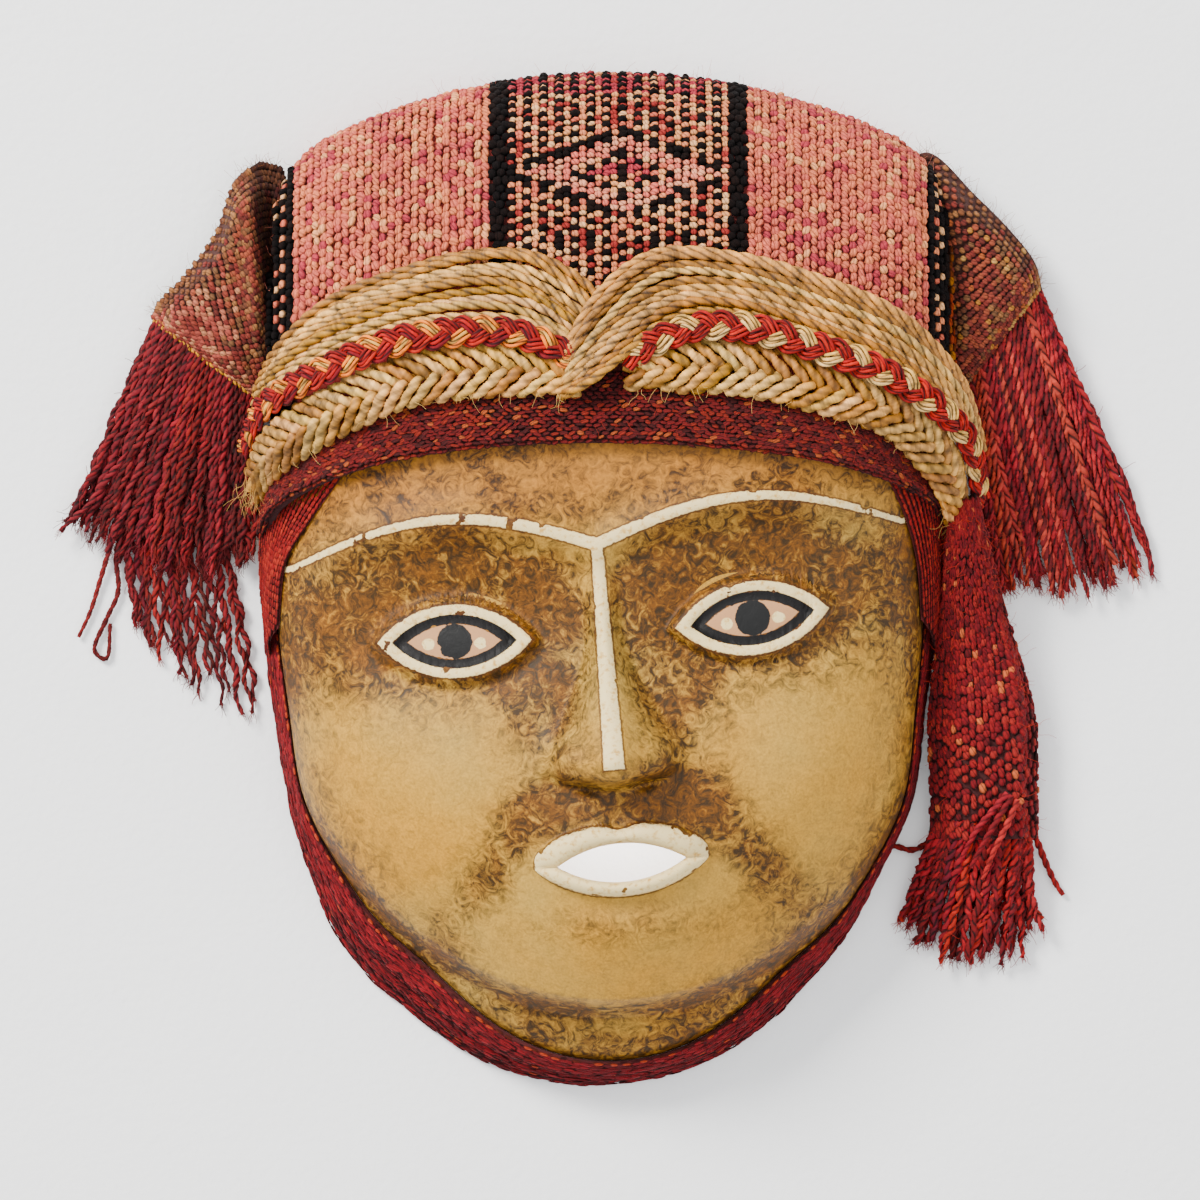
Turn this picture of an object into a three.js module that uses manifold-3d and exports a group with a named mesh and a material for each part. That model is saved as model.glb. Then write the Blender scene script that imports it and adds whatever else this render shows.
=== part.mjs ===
// A moulded clay mask of a woman in woven head cloths, lying on its back.
// Millimetres. +Z points out of the face, +Y towards the crown, and the mask's back rim stands on Z = 0.
import * as THREE from "three";
import { mergeVertices } from "three/addons/utils/BufferGeometryUtils.js";
import Module from "manifold-3d";

const wasm = await Module();
wasm.setup();

// The head: an oval below its widest line, and two upright sides under a shallow arch above it.
const HEAD = {
  faceX: -3, // middle of the oval at its widest line
  crownX: 0, // middle of the arch
  lean: 0.02, // how far the oval's middle runs to the right for each millimetre down
  halfWidth: 81,
  crownHalfWidth: 83,
  chinReach: 121.4,
  crownReach: 123.5,
  archRadius: 163,
  cornerSharpness: 16,
  wallHeight: 12, // the sides stand upright to here, and the dome starts
  depth: 50,
  fullness: 3,
};
// Where the oval is fuller or flatter than an ellipse: share of the reach, at a sine of the angle
// below the widest line, over a spread of it.
const OVAL_FORMS = { cheeks: [0.03, 0.6, 0.15], jaw: [-0.032, 0.92, 0.07] };
const WALL = 6; // thickness of the clay
const THROAT_WALL = 5; // its thickness under the jaw, measured upwards
const THROAT_TOP = -40;
const FINE = { sectors: 44, rings: 11 }; // facets of the outside
const COARSE = { sectors: 24, rings: 6 }; // facets of hidden insides
const GAP = 0.4; // between pieces that rest on each other

// The cloth over the crown.
const HEAD_CLOTH = { inside: 0.5, thickness: 2.6, hemMiddle: 51, hemDrop: 26, hemSharpness: 3 };
// The band of ropes lies this far off the clay, clear of both cloths under it.
const BAND_BASE = 4.9;
const ROPE = { thickness: 2.5, count: 7 };
const PLAIT = { thickness: 3.4, turns: 12, across: 4, slant: 0.9 };
const BRAID = { width: 8, thickness: 3.2, turns: 11, across: 2, slant: 0.8 };
const BROW_BASE = 1.2; // the brow cloth stands this far off the clay

// The face, in its own upright frame, laid out in thirds: hairline to brow, to nose base, to chin.
const THIRD = 56;
const HAIRLINE_Y = 62;
const EYE_WIDTH = 162 / 5; // a face is five eyes wide
const FACE = {
  tiltDeg: 4.5,
  browY: HAIRLINE_Y - THIRD,
  eyeX: EYE_WIDTH * 1.14,
  eyeY: HAIRLINE_Y - THIRD * 1.33,
  eyeWidth: EYE_WIDTH * 1.28, // over the raised rim
  eyeHeight: EYE_WIDTH * 0.64,
  noseBaseY: HAIRLINE_Y - THIRD * 2,
  noseWidth: EYE_WIDTH,
  noseRise: 17,
  mouthY: HAIRLINE_Y - THIRD * 2.33,
  mouthWidth: EYE_WIDTH * 1.36,
  mouthHeight: 19,
  chinY: HAIRLINE_Y - THIRD * 3,
  jawHalfWidth: 84,
  jawReach: 96,
};
// Soft forms of the face over the plain dome: height, middle and spread across and up. The ones
// with an x are there on both sides.
const FORMS = {
  eyeSocket: { height: -5.5, x: FACE.eyeX - 2, y: FACE.eyeY + 4, across: 27, up: 17 },
  cheek: { height: 2.5, x: 44, y: FACE.noseBaseY, across: 26, up: 24 },
  muzzle: { height: 4.5, x: 0, y: FACE.mouthY, across: 30, up: 20 },
  chin: { height: 4, x: 0, y: FACE.chinY + 14, across: 30, up: 14 },
};
const BROW_RIDGE = { height: 2.2, up: 5, arch: 9, length: 76 };
const THROAT_DROP = 0.5; // share of the dome's height that is gone below the jaw
const JAW_CLOTH = { gap: 0.6, endHeight: 9, height: 15, floor: 1 };
// Its width from the left temple, t = 0, round the chin to the right one, t = 1
const JAW_WIDTHS = [
  [0, 2.6], [0.1, 3], [0.2, 2.8], [0.257, 5.7], [0.295, 8.4], [0.341, 10.6], [0.382, 10], [0.425, 8.2],
  [0.463, 6.2], [0.5, 4.9], [0.53, 4.9], [0.558, 5.3], [0.603, 6.2], [0.644, 5.2], [0.69, 2.8], [0.73, 1.6],
  [0.85, 1.6], [0.9, 2.2], [1, 2.2],
];

const radians = THREE.MathUtils.degToRad;
const lerp = THREE.MathUtils.lerp;
const smoothstep = THREE.MathUtils.smoothstep;
const tilt = radians(FACE.tiltDeg);
const vec = (x, y, z) => new THREE.Vector3(x, y, z);

// Plan positions to and from the face's tilted frame.
function toFace(x, y) {
  const dx = x - HEAD.faceX;
  return [dx * Math.cos(tilt) + y * Math.sin(tilt), y * Math.cos(tilt) - dx * Math.sin(tilt)];
}
function fromFace(u, v) {
  return [HEAD.faceX + u * Math.cos(tilt) - v * Math.sin(tilt), u * Math.sin(tilt) + v * Math.cos(tilt)];
}

// The middle line of the head's outline at a height in plan.
function middleX(y) {
  if (y < 0) return HEAD.faceX - HEAD.lean * y;
  return lerp(HEAD.faceX, HEAD.crownX, smoothstep(y, 0, 60));
}

// How far the outline is from the head's middle in a direction, with the head grown all round.
function outlineReach(angle, grow) {
  const c = Math.abs(Math.cos(angle));
  const s = Math.sin(angle);
  const halfWidth = HEAD.halfWidth + grow;
  if (s < 0) {
    const forms = Object.values(OVAL_FORMS).reduce((sum, [share, middle, spread]) => {
      return sum + share * Math.exp(-(((-s - middle) / spread) ** 2));
    }, 1);
    return forms / Math.hypot(c / halfWidth, s / (HEAD.chinReach + grow));
  }
  const side = lerp(halfWidth, HEAD.crownHalfWidth + grow, smoothstep(s, 0, 0.5));
  const below = HEAD.archRadius - HEAD.crownReach;
  const arch = Math.sqrt((HEAD.archRadius + grow) ** 2 - (below * c) ** 2) - below * s;
  const m = HEAD.cornerSharpness;
  return ((c / side) ** m + (1 / arch) ** m) ** (-1 / m);
}
function outlinePoint(angle, share, grow) {
  const reach = share * outlineReach(angle, grow);
  const y = reach * Math.sin(angle);
  return [middleX(y) + reach * Math.cos(angle), y];
}

// 0 at the head's middle and 1 at its outline.
function outlineShare(x, y, grow) {
  const u = x - middleX(y);
  return Math.hypot(u, y) / outlineReach(Math.atan2(y, u), grow);
}
function domeHeight(x, y, grow) {
  const share = outlineShare(x, y, grow);
  if (share > 1.0001) return 0;
  const bulge = Math.sqrt(Math.max(0, 1 - share ** HEAD.fullness));
  return HEAD.wallHeight + (HEAD.depth - HEAD.wallHeight + grow) * bulge;
}
function domeNormal(x, y, z, grow) {
  const step = 0.05;
  const level = (px, py, pz) => {
    const rise = Math.max(0, pz - HEAD.wallHeight) / (HEAD.depth - HEAD.wallHeight + grow);
    return outlineShare(px, py, grow) ** HEAD.fullness + rise ** 2;
  };
  return vec(
    level(x + step, y, z) - level(x - step, y, z),
    level(x, y + step, z) - level(x, y - step, z),
    level(x, y, z + step) - level(x, y, z - step),
  ).normalize();
}

// A place lifted off the dome, which ends up over a plan point, or over its side wall at a height.
function onFront(x, y, lift) {
  const foot = vec(x, y, domeHeight(x, y, 0));
  const normal = vec(0, 0, 1);
  for (let i = 0; i < 12; i++) {
    normal.copy(domeNormal(foot.x, foot.y, foot.z, 0));
    foot.set(x - lift * normal.x, y - lift * normal.y, 0);
    foot.z = domeHeight(foot.x, foot.y, 0);
  }
  return { point: foot.clone().addScaledVector(normal, lift), normal };
}
function onSide(side, y, z, lift) {
  let inner = 0;
  let outer = 1.2 * HEAD.crownHalfWidth;
  for (let i = 0; i < 30; i++) {
    const middle = (inner + outer) / 2;
    if (domeHeight(middleX(y) + side * middle, y, 0) > z) inner = middle;
    else outer = middle;
  }
  const x = middleX(y) + side * inner;
  const normal = domeNormal(x, y, z, 0);
  return { point: vec(x, y, z).addScaledVector(normal, lift), normal };
}

// Closed mesh to solid, and back.
function toSolid(geometry) {
  const bare = geometry.index ? geometry.toNonIndexed() : geometry.clone();
  bare.deleteAttribute("normal");
  bare.deleteAttribute("uv");
  const merged = mergeVertices(bare, 1e-4);
  return new wasm.Manifold(
    new wasm.Mesh({
      numProp: 3,
      vertProperties: merged.attributes.position.array,
      triVerts: new Uint32Array(merged.index.array),
    }),
  );
}
function toGeometry(solid) {
  const mesh = solid.getMesh();
  const positions = new Float32Array(mesh.numVert * 3);
  for (let i = 0; i < mesh.numVert; i++) {
    positions.set(mesh.vertProperties.subarray(i * mesh.numProp, i * mesh.numProp + 3), i * 3);
  }
  return new THREE.BufferGeometry()
    .setAttribute("position", new THREE.BufferAttribute(positions, 3))
    .setIndex(new THREE.BufferAttribute(new Uint32Array(mesh.triVerts), 1));
}
function joined(solids) {
  return solids.reduce((whole, next) => whole.add(next));
}

// A solid through equal rings of points, with its ends closed.
function loft(rings) {
  const size = rings[0].length;
  const points = rings.flat();
  const faces = [];
  for (let i = 0; i + 1 < rings.length; i++) {
    for (let j = 0; j < size; j++) {
      const a = i * size + j;
      const b = i * size + ((j + 1) % size);
      faces.push([a, b, b + size], [a, b + size, a + size]);
    }
  }
  for (const [ring, start, flip] of [
    [rings[0], 0, true],
    [rings.at(-1), (rings.length - 1) * size, false],
  ]) {
    const middle = ring.reduce((sum, p) => sum.add(p), vec(0, 0, 0)).divideScalar(size);
    points.push(middle);
    for (let j = 0; j < size; j++) {
      const pair = [start + j, start + ((j + 1) % size)];
      faces.push(flip ? [pair[1], pair[0], points.length - 1] : [...pair, points.length - 1]);
    }
  }
  const build = (list) =>
    new THREE.BufferGeometry()
      .setAttribute("position", new THREE.Float32BufferAttribute(points.flatMap((p) => [p.x, p.y, p.z]), 3))
      .setIndex(list.flat());
  const solid = toSolid(build(faces));
  return solid.volume() > 0 ? solid : toSolid(build(faces.map(([a, b, c]) => [a, c, b])));
}

// A dome that stands on the plane at its foot, one ring of points for each share of the outline.
function dome(grow, foot, { sectors, rings: count }, heightAt) {
  const rings = [];
  for (let i = 0; i <= count; i++) {
    const share = Math.max(0.004, Math.sin((i / count) * (Math.PI / 2)) ** 0.8);
    const ring = [];
    for (let j = 0; j < sectors; j++) {
      const [x, y] = outlinePoint((j / sectors) * 2 * Math.PI, share, grow);
      ring.push(vec(x, y, heightAt(x, y)));
    }
    rings.push(ring);
  }
  rings.push(rings.at(-1).map((p) => vec(p.x, p.y, foot)));
  return loft(rings);
}
const plainDome = (grow, foot, facets) => dome(grow, foot, facets, (x, y) => domeHeight(x, y, grow));

// A skin over a patch of points: at gives the point and its outward direction, and the skin's top
// and bottom are heights along that direction.
function skin({ at, stations, across, top, bottom, bottomAcross = 3 }) {
  const rings = [];
  for (let i = 0; i <= stations; i++) {
    const t = i / stations;
    const place = (w, height) => {
      const { point, normal } = at(t, w);
      return point.clone().addScaledVector(normal, height(t, w));
    };
    const ring = [];
    for (let j = 0; j <= across; j++) ring.push(place(j / across, top));
    for (let j = bottomAcross; j >= 0; j--) ring.push(place(j / bottomAcross, bottom));
    rings.push(ring);
  }
  return loft(rings);
}
function between(edgeA, edgeB) {
  return (t, w) => {
    const a = edgeA(t);
    const b = edgeB(t);
    const normal = a.normal.clone().lerp(b.normal, w).normalize();
    return { point: a.point.clone().lerp(b.point, w), normal };
  };
}

// A smooth run through places on the dome.
function run(places) {
  const line = new THREE.CatmullRomCurve3(places.map((p) => p.point), false, "centripetal");
  const normals = new THREE.CatmullRomCurve3(places.map((p) => p.normal), false, "centripetal");
  return (t) => ({ point: line.getPoint(t), normal: normals.getPoint(t).normalize() });
}
const frontRun = (lift, points) => points.map(([x, y, more = 0]) => onFront(x, y, lift + more));

// A round or oval tube through points, with a half width, half thickness for each.
function tube(points, sides, stations) {
  const line = new THREE.CatmullRomCurve3(points.map((p) => vec(...p.at)), false, "centripetal");
  const sizes = new THREE.CatmullRomCurve3(points.map((p) => vec(p.width / 2, p.thick / 2, 0)));
  const rings = [];
  for (let i = 0; i <= stations; i++) {
    const t = i / stations;
    const along = line.getTangent(t);
    const sideways = vec(0, 0, 1).cross(along).normalize();
    const up = along.clone().cross(sideways).normalize();
    const size = sizes.getPoint(t);
    const ring = [];
    for (let j = 0; j < sides; j++) {
      const angle = (j / sides) * 2 * Math.PI;
      ring.push(
        line
          .getPoint(t)
          .addScaledVector(sideways, size.x * Math.cos(angle))
          .addScaledVector(up, size.y * Math.sin(angle)),
      );
    }
    rings.push(ring);
  }
  return loft(rings);
}

// The face's soft relief over the plain dome.
function hill(u, v, { height, x, y, across, up }) {
  return height * Math.exp(-(((u - x) / across) ** 2) - ((v - y) / up) ** 2);
}
function browLine(side) {
  return FACE.browY + BROW_RIDGE.arch * Math.sin(Math.PI * Math.min(1, side / BROW_RIDGE.length));
}
function faceHeight(x, y) {
  const [u, v] = toFace(x, y);
  const side = Math.abs(u);
  const fade = 1 - smoothstep(outlineShare(x, y, 0), 0.72, 0.97);
  const jaw = Math.hypot(u / FACE.jawHalfWidth, (v - FACE.chinY - FACE.jawReach) / FACE.jawReach);
  const throat = v < THROAT_TOP ? smoothstep(jaw, 0.965, 1.06) * smoothstep(-v, -THROAT_TOP, 70) : 0;
  const forms = Object.values(FORMS).reduce((sum, form) => sum + hill(side, v, form), 0);
  const brow = hill(0, v, { ...BROW_RIDGE, x: 0, y: browLine(side), across: 1 });
  const relief = forms + brow;
  const bulge = domeHeight(x, y, 0) - HEAD.wallHeight;
  return HEAD.wallHeight + bulge * (1 - THROAT_DROP * throat) + relief * fade * (1 - throat);
}
const faceAt = (u, v) => {
  const [x, y] = fromFace(u, v);
  return vec(x, y, faceHeight(x, y));
};

// The nose: sections from bridge to tip, each a rounded ridge over the face, and a flat underside.
function nose() {
  const stations = 8;
  const bridgeHalf = 5;
  const half = FACE.noseWidth / 2;
  const profile = [
    [0.85, 0.28],
    [0.5, 0.62],
    [0.22, 0.93],
  ];
  const rings = [];
  for (let i = 0; i <= stations; i++) {
    const t = i / stations;
    const v = lerp(FACE.browY - 2, FACE.noseBaseY, t);
    const wide = lerp(bridgeHalf, half, smoothstep(t, 0.3, 0.95));
    const rise = FACE.noseRise * (0.06 + 0.94 * t ** 1.15) * (1 - 0.16 * smoothstep(t, 0.9, 1));
    const ridge = [
      [-1, -3],
      ...profile.map(([x, h]) => [-x, h * rise]),
      [0, rise],
      ...profile.toReversed().map(([x, h]) => [x, h * rise]),
      [1, -3],
      [0, -9],
    ];
    const base = faceAt(0, v).z;
    rings.push(
      ridge.map(([share, height]) => {
        const [x, y] = fromFace(wide * share, v + 3 * t ** 4 * share * share);
        return vec(x, y, base + height);
      }),
    );
  }
  return loft(rings);
}

// An almond outline: two arcs that meet in points, with a share of the full size.
function almond(width, height) {
  const half = width / 2;
  const rise = height / 2;
  const radius = (half * half + rise * rise) / (2 * rise);
  const spread = Math.asin(half / radius);
  const shape = new THREE.Shape();
  shape.absarc(0, rise - radius, radius, Math.PI / 2 - spread, Math.PI / 2 + spread, false);
  shape.absarc(0, radius - rise, radius, -Math.PI / 2 - spread, -Math.PI / 2 + spread, false);
  return shape;
}
function raised(shape, from, to, bevel, curveSegments) {
  const geometry = new THREE.ExtrudeGeometry(shape, {
    depth: to - from - bevel,
    bevelEnabled: bevel > 0,
    bevelThickness: bevel,
    bevelSize: bevel,
    bevelOffset: -bevel,
    bevelSegments: 1,
    curveSegments,
  });
  geometry.translate(0, 0, from);
  return geometry;
}

// One eye: a raised almond pad with a sunk field, and the eyeball with its pupil in the field.
function eye(side) {
  const { x, y, z } = faceAt(side * FACE.eyeX, FACE.eyeY);
  const normal = domeNormal(x, y, domeHeight(x, y, 0), 0);
  const place = new THREE.Matrix4()
    .makeRotationFromQuaternion(new THREE.Quaternion().setFromUnitVectors(vec(0, 0, 1), normal))
    .setPosition(x, y, z)
    .multiply(new THREE.Matrix4().makeRotationZ(tilt + side * radians(3)));
  const made = (shape, from, to, bevel, segments) =>
    toSolid(raised(shape, from, to, bevel, segments).applyMatrix4(place));
  const { eyeWidth: width, eyeHeight: height } = FACE;
  const pad = made(almond(width, height), -6, 4.2, 1.6, 7);
  const field = made(almond(width * 0.74, height * 0.62), 2.2, 12, 0, 6);
  const ball = made(almond(width * 0.6, height * 0.5), 0, 3.4, 1, 5);
  const pupil = made(new THREE.Shape().absarc(0, 0, 4.2, 0, 2 * Math.PI, false), 0, 3.9, 0.4, 4);
  return pad.subtract(field).add(ball).add(pupil);
}

// The lips are a raised ring, and the mouth is open right through the wall.
function mouthShape(width, height) {
  const half = width / 2;
  const shape = new THREE.Shape();
  shape.moveTo(-half, -height * 0.06);
  shape.quadraticCurveTo(-half * 0.6, height * 0.42, -half * 0.3, height * 0.46);
  shape.quadraticCurveTo(0, height * 0.3, half * 0.3, height * 0.46);
  shape.quadraticCurveTo(half * 0.6, height * 0.42, half, -height * 0.06);
  shape.quadraticCurveTo(0, -height, -half, -height * 0.06);
  return shape;
}
function atMouth(geometry) {
  const { x, y, z } = faceAt(0, FACE.mouthY);
  return toSolid(geometry.rotateZ(tilt).translate(x, y, z));
}
const lips = () =>
  atMouth(raised(mouthShape(FACE.mouthWidth, FACE.mouthHeight), -6, 3.2, 1.6, 5));
const mouthOpening = () =>
  atMouth(
    raised(almond(FACE.mouthWidth * 0.72, FACE.mouthHeight * 0.5), -40, 20, 0, 5).translate(
      0,
      -FACE.mouthHeight * 0.08,
      0,
    ),
  );

function mask() {
  // The hollow follows the dome, and under the jaw the throat.
  const inside = (x, y) => {
    const plain = domeHeight(x, y, -WALL);
    if (y > THROAT_TOP) return plain;
    return Math.max(HEAD.wallHeight, Math.min(plain, faceHeight(x, y) - THROAT_WALL));
  };
  return dome(0, 0, FINE, faceHeight)
    .add(nose())
    .add(eye(-1))
    .add(eye(1))
    .add(lips())
    .subtract(dome(-WALL, -5, COARSE, inside))
    .subtract(mouthOpening());
}

// The cloth over the crown: a shell of the dome, cut off along its front hem under the ropes.
function hemY(x) {
  return HEAD_CLOTH.hemMiddle - HEAD_CLOTH.hemDrop * (Math.abs(x) / 88) ** HEAD_CLOTH.hemSharpness;
}
function crownCloth() {
  const steps = 14;
  const reach = 140;
  const shape = new THREE.Shape([new THREE.Vector2(-reach, -reach), new THREE.Vector2(reach, -reach)]);
  for (const share of [1.4, ...Array.from({ length: steps + 1 }, (_, i) => 1 - (2 * i) / steps), -1.4]) {
    const x = 95 * share;
    shape.lineTo(x, hemY(Math.min(95, Math.abs(x))));
  }
  const cut = new THREE.ExtrudeGeometry(shape, { depth: reach, bevelEnabled: false, curveSegments: 1 });
  cut.translate(0, 0, -20);
  return plainDome(HEAD_CLOTH.inside + HEAD_CLOTH.thickness, 0, FINE).subtract(toSolid(cut));
}

// A cloth end that is pulled out at the side: a pleated fan from the pinch under the rope band.
// pinch, crown and corner: where the band grips it, where it leaves the crown, its free corner.
function clothEnd({ pinch, crown, corner, grip, bulge, pleats, round }) {
  const gripPoint = vec(...pinch);
  return skin({
    at: (t, w) => {
      const rim = vec(...crown).lerp(vec(...corner), w);
      const reach = lerp(grip, 1, t) * (1 + round * Math.sin(Math.PI * w));
      return { point: gripPoint.clone().lerp(rim, reach), normal: vec(0, 0, 1) };
    },
    stations: 6,
    across: 12,
    top: (t, w) => {
      const pleat = 1.6 * Math.sin(Math.PI * pleats * w) ** 2 * t;
      return bulge * Math.sin(Math.PI * w) * (0.35 + 0.65 * t) + 2.4 * (1 - t ** 6) + pleat;
    },
    bottom: (t, w) => -2.2 + 0.5 * bulge * Math.sin(Math.PI * w) * t,
  });
}
const CLOTH_ENDS = {
  left: {
    pinch: [-84, 41, 6.5],
    crown: [-80, 99, 15],
    corner: [-113, 65, 8],
    grip: 0.1,
    bulge: 5,
    pleats: 2,
    round: 0.1,
  },
  right: {
    pinch: [84, 42, 7],
    crown: [77, 101, 14],
    corner: [107.5, 73, 8],
    grip: 0.1,
    bulge: 7,
    pleats: 3,
    round: 0.13,
  },
};
function headCloth() {
  return joined([crownCloth(), clothEnd(CLOTH_ENDS.left), clothEnd(CLOTH_ENDS.right)]).subtract(
    plainDome(HEAD_CLOTH.inside, -5, FINE),
  );
}

// The red cloth across the brow, with its rolled lower edge.
function browCloth() {
  const places = (rows) => [
    onSide(-1, rows.ends - 3, 13, BROW_BASE),
    onSide(-1, rows.ends + 4, 26, BROW_BASE),
    ...frontRun(BROW_BASE, rows.front),
    onSide(1, rows.ends + 6, 26, BROW_BASE),
    onSide(1, rows.ends, 13, BROW_BASE),
  ];
  const lower = {
    ends: 14,
    front: [[-62, 27], [-35, 32], [2, 33.5], [35, 31.5], [60, 27]],
  };
  const upper = {
    ends: 22,
    front: [[-64, 38], [-35, 45], [2, 47], [35, 45.5], [60, 41]],
  };
  return skin({
    at: between(run(places(lower)), run(places(upper))),
    stations: 16,
    across: 4,
    bottomAcross: 2,
    top: (t, w) => 1.6 + 1.7 * Math.sin(Math.PI * Math.min(1, w * 1.4)),
    bottom: () => 0,
  });
}

// The rope bundles: ropes laid side by side between two edges. The right one crosses the left one
// at the middle, so it is lifted over it there.
function ropeBundle(edgeA, edgeB, stations) {
  return skin({
    at: between(run(edgeA), run(edgeB)),
    stations,
    across: ROPE.count * 2,
    bottomAcross: 3,
    top: (t, w) => ROPE.thickness * (0.45 + 0.55 * Math.abs(Math.sin(Math.PI * ROPE.count * w))),
    bottom: () => 0,
  });
}

// The seam between bundle and plait on each side of the brow, where the braid lies: its two places
// on the head's side wall as [y, z, lift], and then its run over the front.
const SEAM = {
  left: {
    side: -1,
    wall: [[32, 14, -0.9], [42.5, 27, -0.4]],
    front: [[-70, 52], [-52, 58.8], [-34, 61], [-24, 60.5], [-16, 57.5]],
  },
  right: {
    side: 1,
    wall: [[21, 14, 4], [37, 27, 3]],
    front: [[70, 49.5, 1], [52, 56.5], [34, 61.7], [20, 62]],
  },
};
function seam({ side, wall, front }, across, lift) {
  return [
    ...wall.map(([y, z, more]) => onSide(side, y + across, z, lift + more)),
    ...frontRun(lift, front.map(([x, y, more = 0]) => [x, y + across, more])),
  ];
}
const beside = BRAID.width * 0.35; // from the seam to the ropes' edges
function leftBundle() {
  const upper = [
    onSide(-1, 49, 14, BAND_BASE - 0.9),
    onSide(-1, 58, 27, BAND_BASE - 0.4),
    ...frontRun(BAND_BASE, [[-70, 69], [-52, 76.5], [-32, 81.5], [-16, 80.5], [-6.5, 75]]),
  ];
  return ropeBundle(upper, seam(SEAM.left, beside, BAND_BASE), 12);
}
function rightBundle() {
  const over = 3.2;
  const upper = [
    onSide(1, 36, 14, BAND_BASE + 5),
    onSide(1, 52, 27, BAND_BASE + 3),
    ...frontRun(BAND_BASE, [
      [70, 67, 1],
      [52, 75],
      [32, 80.5],
      [13.5, 82],
      [1.5, 75.7, over],
      [-6.5, 67, over],
      [-11, 57, over - 1],
      [-12, 50.5],
    ]),
  ];
  const tuck = [
    [11, 59.5, over],
    [3, 51.8, over],
    [-4.5, 47.8, over - 1],
    [-9.5, 46.3],
  ];
  const lower = [...seam(SEAM.right, beside, BAND_BASE), ...frontRun(BAND_BASE, tuck)];
  return ropeBundle(upper, lower, 17);
}

// A flat plait or braid between two edges: strands slant from both edges to a spine, so that they
// make a row of chevrons.
function plaited(edgeA, edgeB, { thickness, turns, across, slant }) {
  return skin({
    at: between(edgeA, edgeB),
    stations: turns * 2,
    across,
    bottomAcross: 2,
    top: (t, w) => {
      const off = Math.abs(2 * w - 1);
      const ridge = Math.abs(Math.sin(Math.PI * (turns * t + slant * off)));
      return thickness * (1 - 0.45 * off ** 3) * (0.72 + 0.28 * ridge);
    },
    bottom: () => 0,
  });
}
function leftPlait() {
  const lower = [
    onSide(-1, 17.5, 14, BAND_BASE + 0.2),
    onSide(-1, 23, 27, BAND_BASE + 0.2),
    ...frontRun(BAND_BASE, [[-67, 32.5], [-50, 40.5], [-32, 42.8], [-21, 45], [-14, 47.5]]),
  ];
  return plaited(run(seam(SEAM.left, -beside, BAND_BASE)), run(lower), PLAIT);
}
function rightPlait() {
  const lower = [
    onSide(1, 13, 14, BAND_BASE + 3),
    onSide(1, 24, 27, BAND_BASE + 2),
    ...frontRun(BAND_BASE, [[68, 35.5], [52, 40], [34, 43.5], [20, 45], [11, 49.5]]),
  ];
  return plaited(run(seam(SEAM.right, -beside, BAND_BASE)), run(lower), PLAIT);
}

// The red and cream braid that lies along the band on each side, on the ropes and the plait.
function braid(places) {
  const line = run(places);
  const edge = (side) => (t) => {
    const here = line(t);
    const ahead = line(Math.min(1, t + 0.01)).point;
    const back = line(Math.max(0, t - 0.01)).point;
    const across = here.normal.clone().cross(ahead.sub(back)).normalize();
    const half = (BRAID.width / 2) * (0.75 + 0.25 * Math.sin(Math.PI * t));
    return { point: here.point.clone().addScaledVector(across, side * half), normal: here.normal };
  };
  return plaited(edge(1), edge(-1), BRAID);
}
const BRAID_BASE = BAND_BASE + 0.75 * PLAIT.thickness + GAP;

// The cloth round the jaw: folded layers against the mask's wall, from temple to temple.
function jawCloth() {
  const stations = 36;
  const from = radians(177);
  const to = radians(365);
  const rings = [];
  for (let i = 0; i <= stations; i++) {
    const t = i / stations;
    const angle = lerp(from, to, t);
    const next = Math.max(1, JAW_WIDTHS.findIndex(([share]) => share >= t));
    const [[before, narrow], [after, full]] = JAW_WIDTHS.slice(next - 1, next + 1);
    const wide = lerp(narrow, full, (t - before) / (after - before));
    const high = lerp(JAW_CLOTH.endHeight, JAW_CLOTH.height, Math.sin(Math.PI * t));
    const section = [
      [JAW_CLOTH.gap, JAW_CLOTH.floor],
      [wide, JAW_CLOTH.floor],
      [wide + 0.6, high * 0.3],
      [wide * 0.95, high * 0.42],
      [wide * 0.85, high * 0.75],
      [wide * 0.62, high * 0.97],
      [JAW_CLOTH.gap + 0.2, high],
      [JAW_CLOTH.gap, high * 0.93],
    ];
    rings.push(
      section.map(([off, z]) => {
        return vec(...outlinePoint(angle, 1, off), z);
      }),
    );
  }
  return loft(rings);
}

// The cloth that hangs at the right, gathered to a soft roll.
function sideScarf() {
  return tube(
    [
      { at: [89.5, 12.5, 20], width: 7, thick: 5 },
      { at: [89.5, 6, 17], width: 9, thick: 7 },
      { at: [90, -4, 12.5], width: 13, thick: 9 },
      { at: [91.5, -20, 8.5], width: 19, thick: 11.5 },
      { at: [93, -38, 7.8], width: 24.5, thick: 13 },
      { at: [94, -66, 7.8], width: 26, thick: 13 },
    ],
    10,
    12,
  );
}

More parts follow.
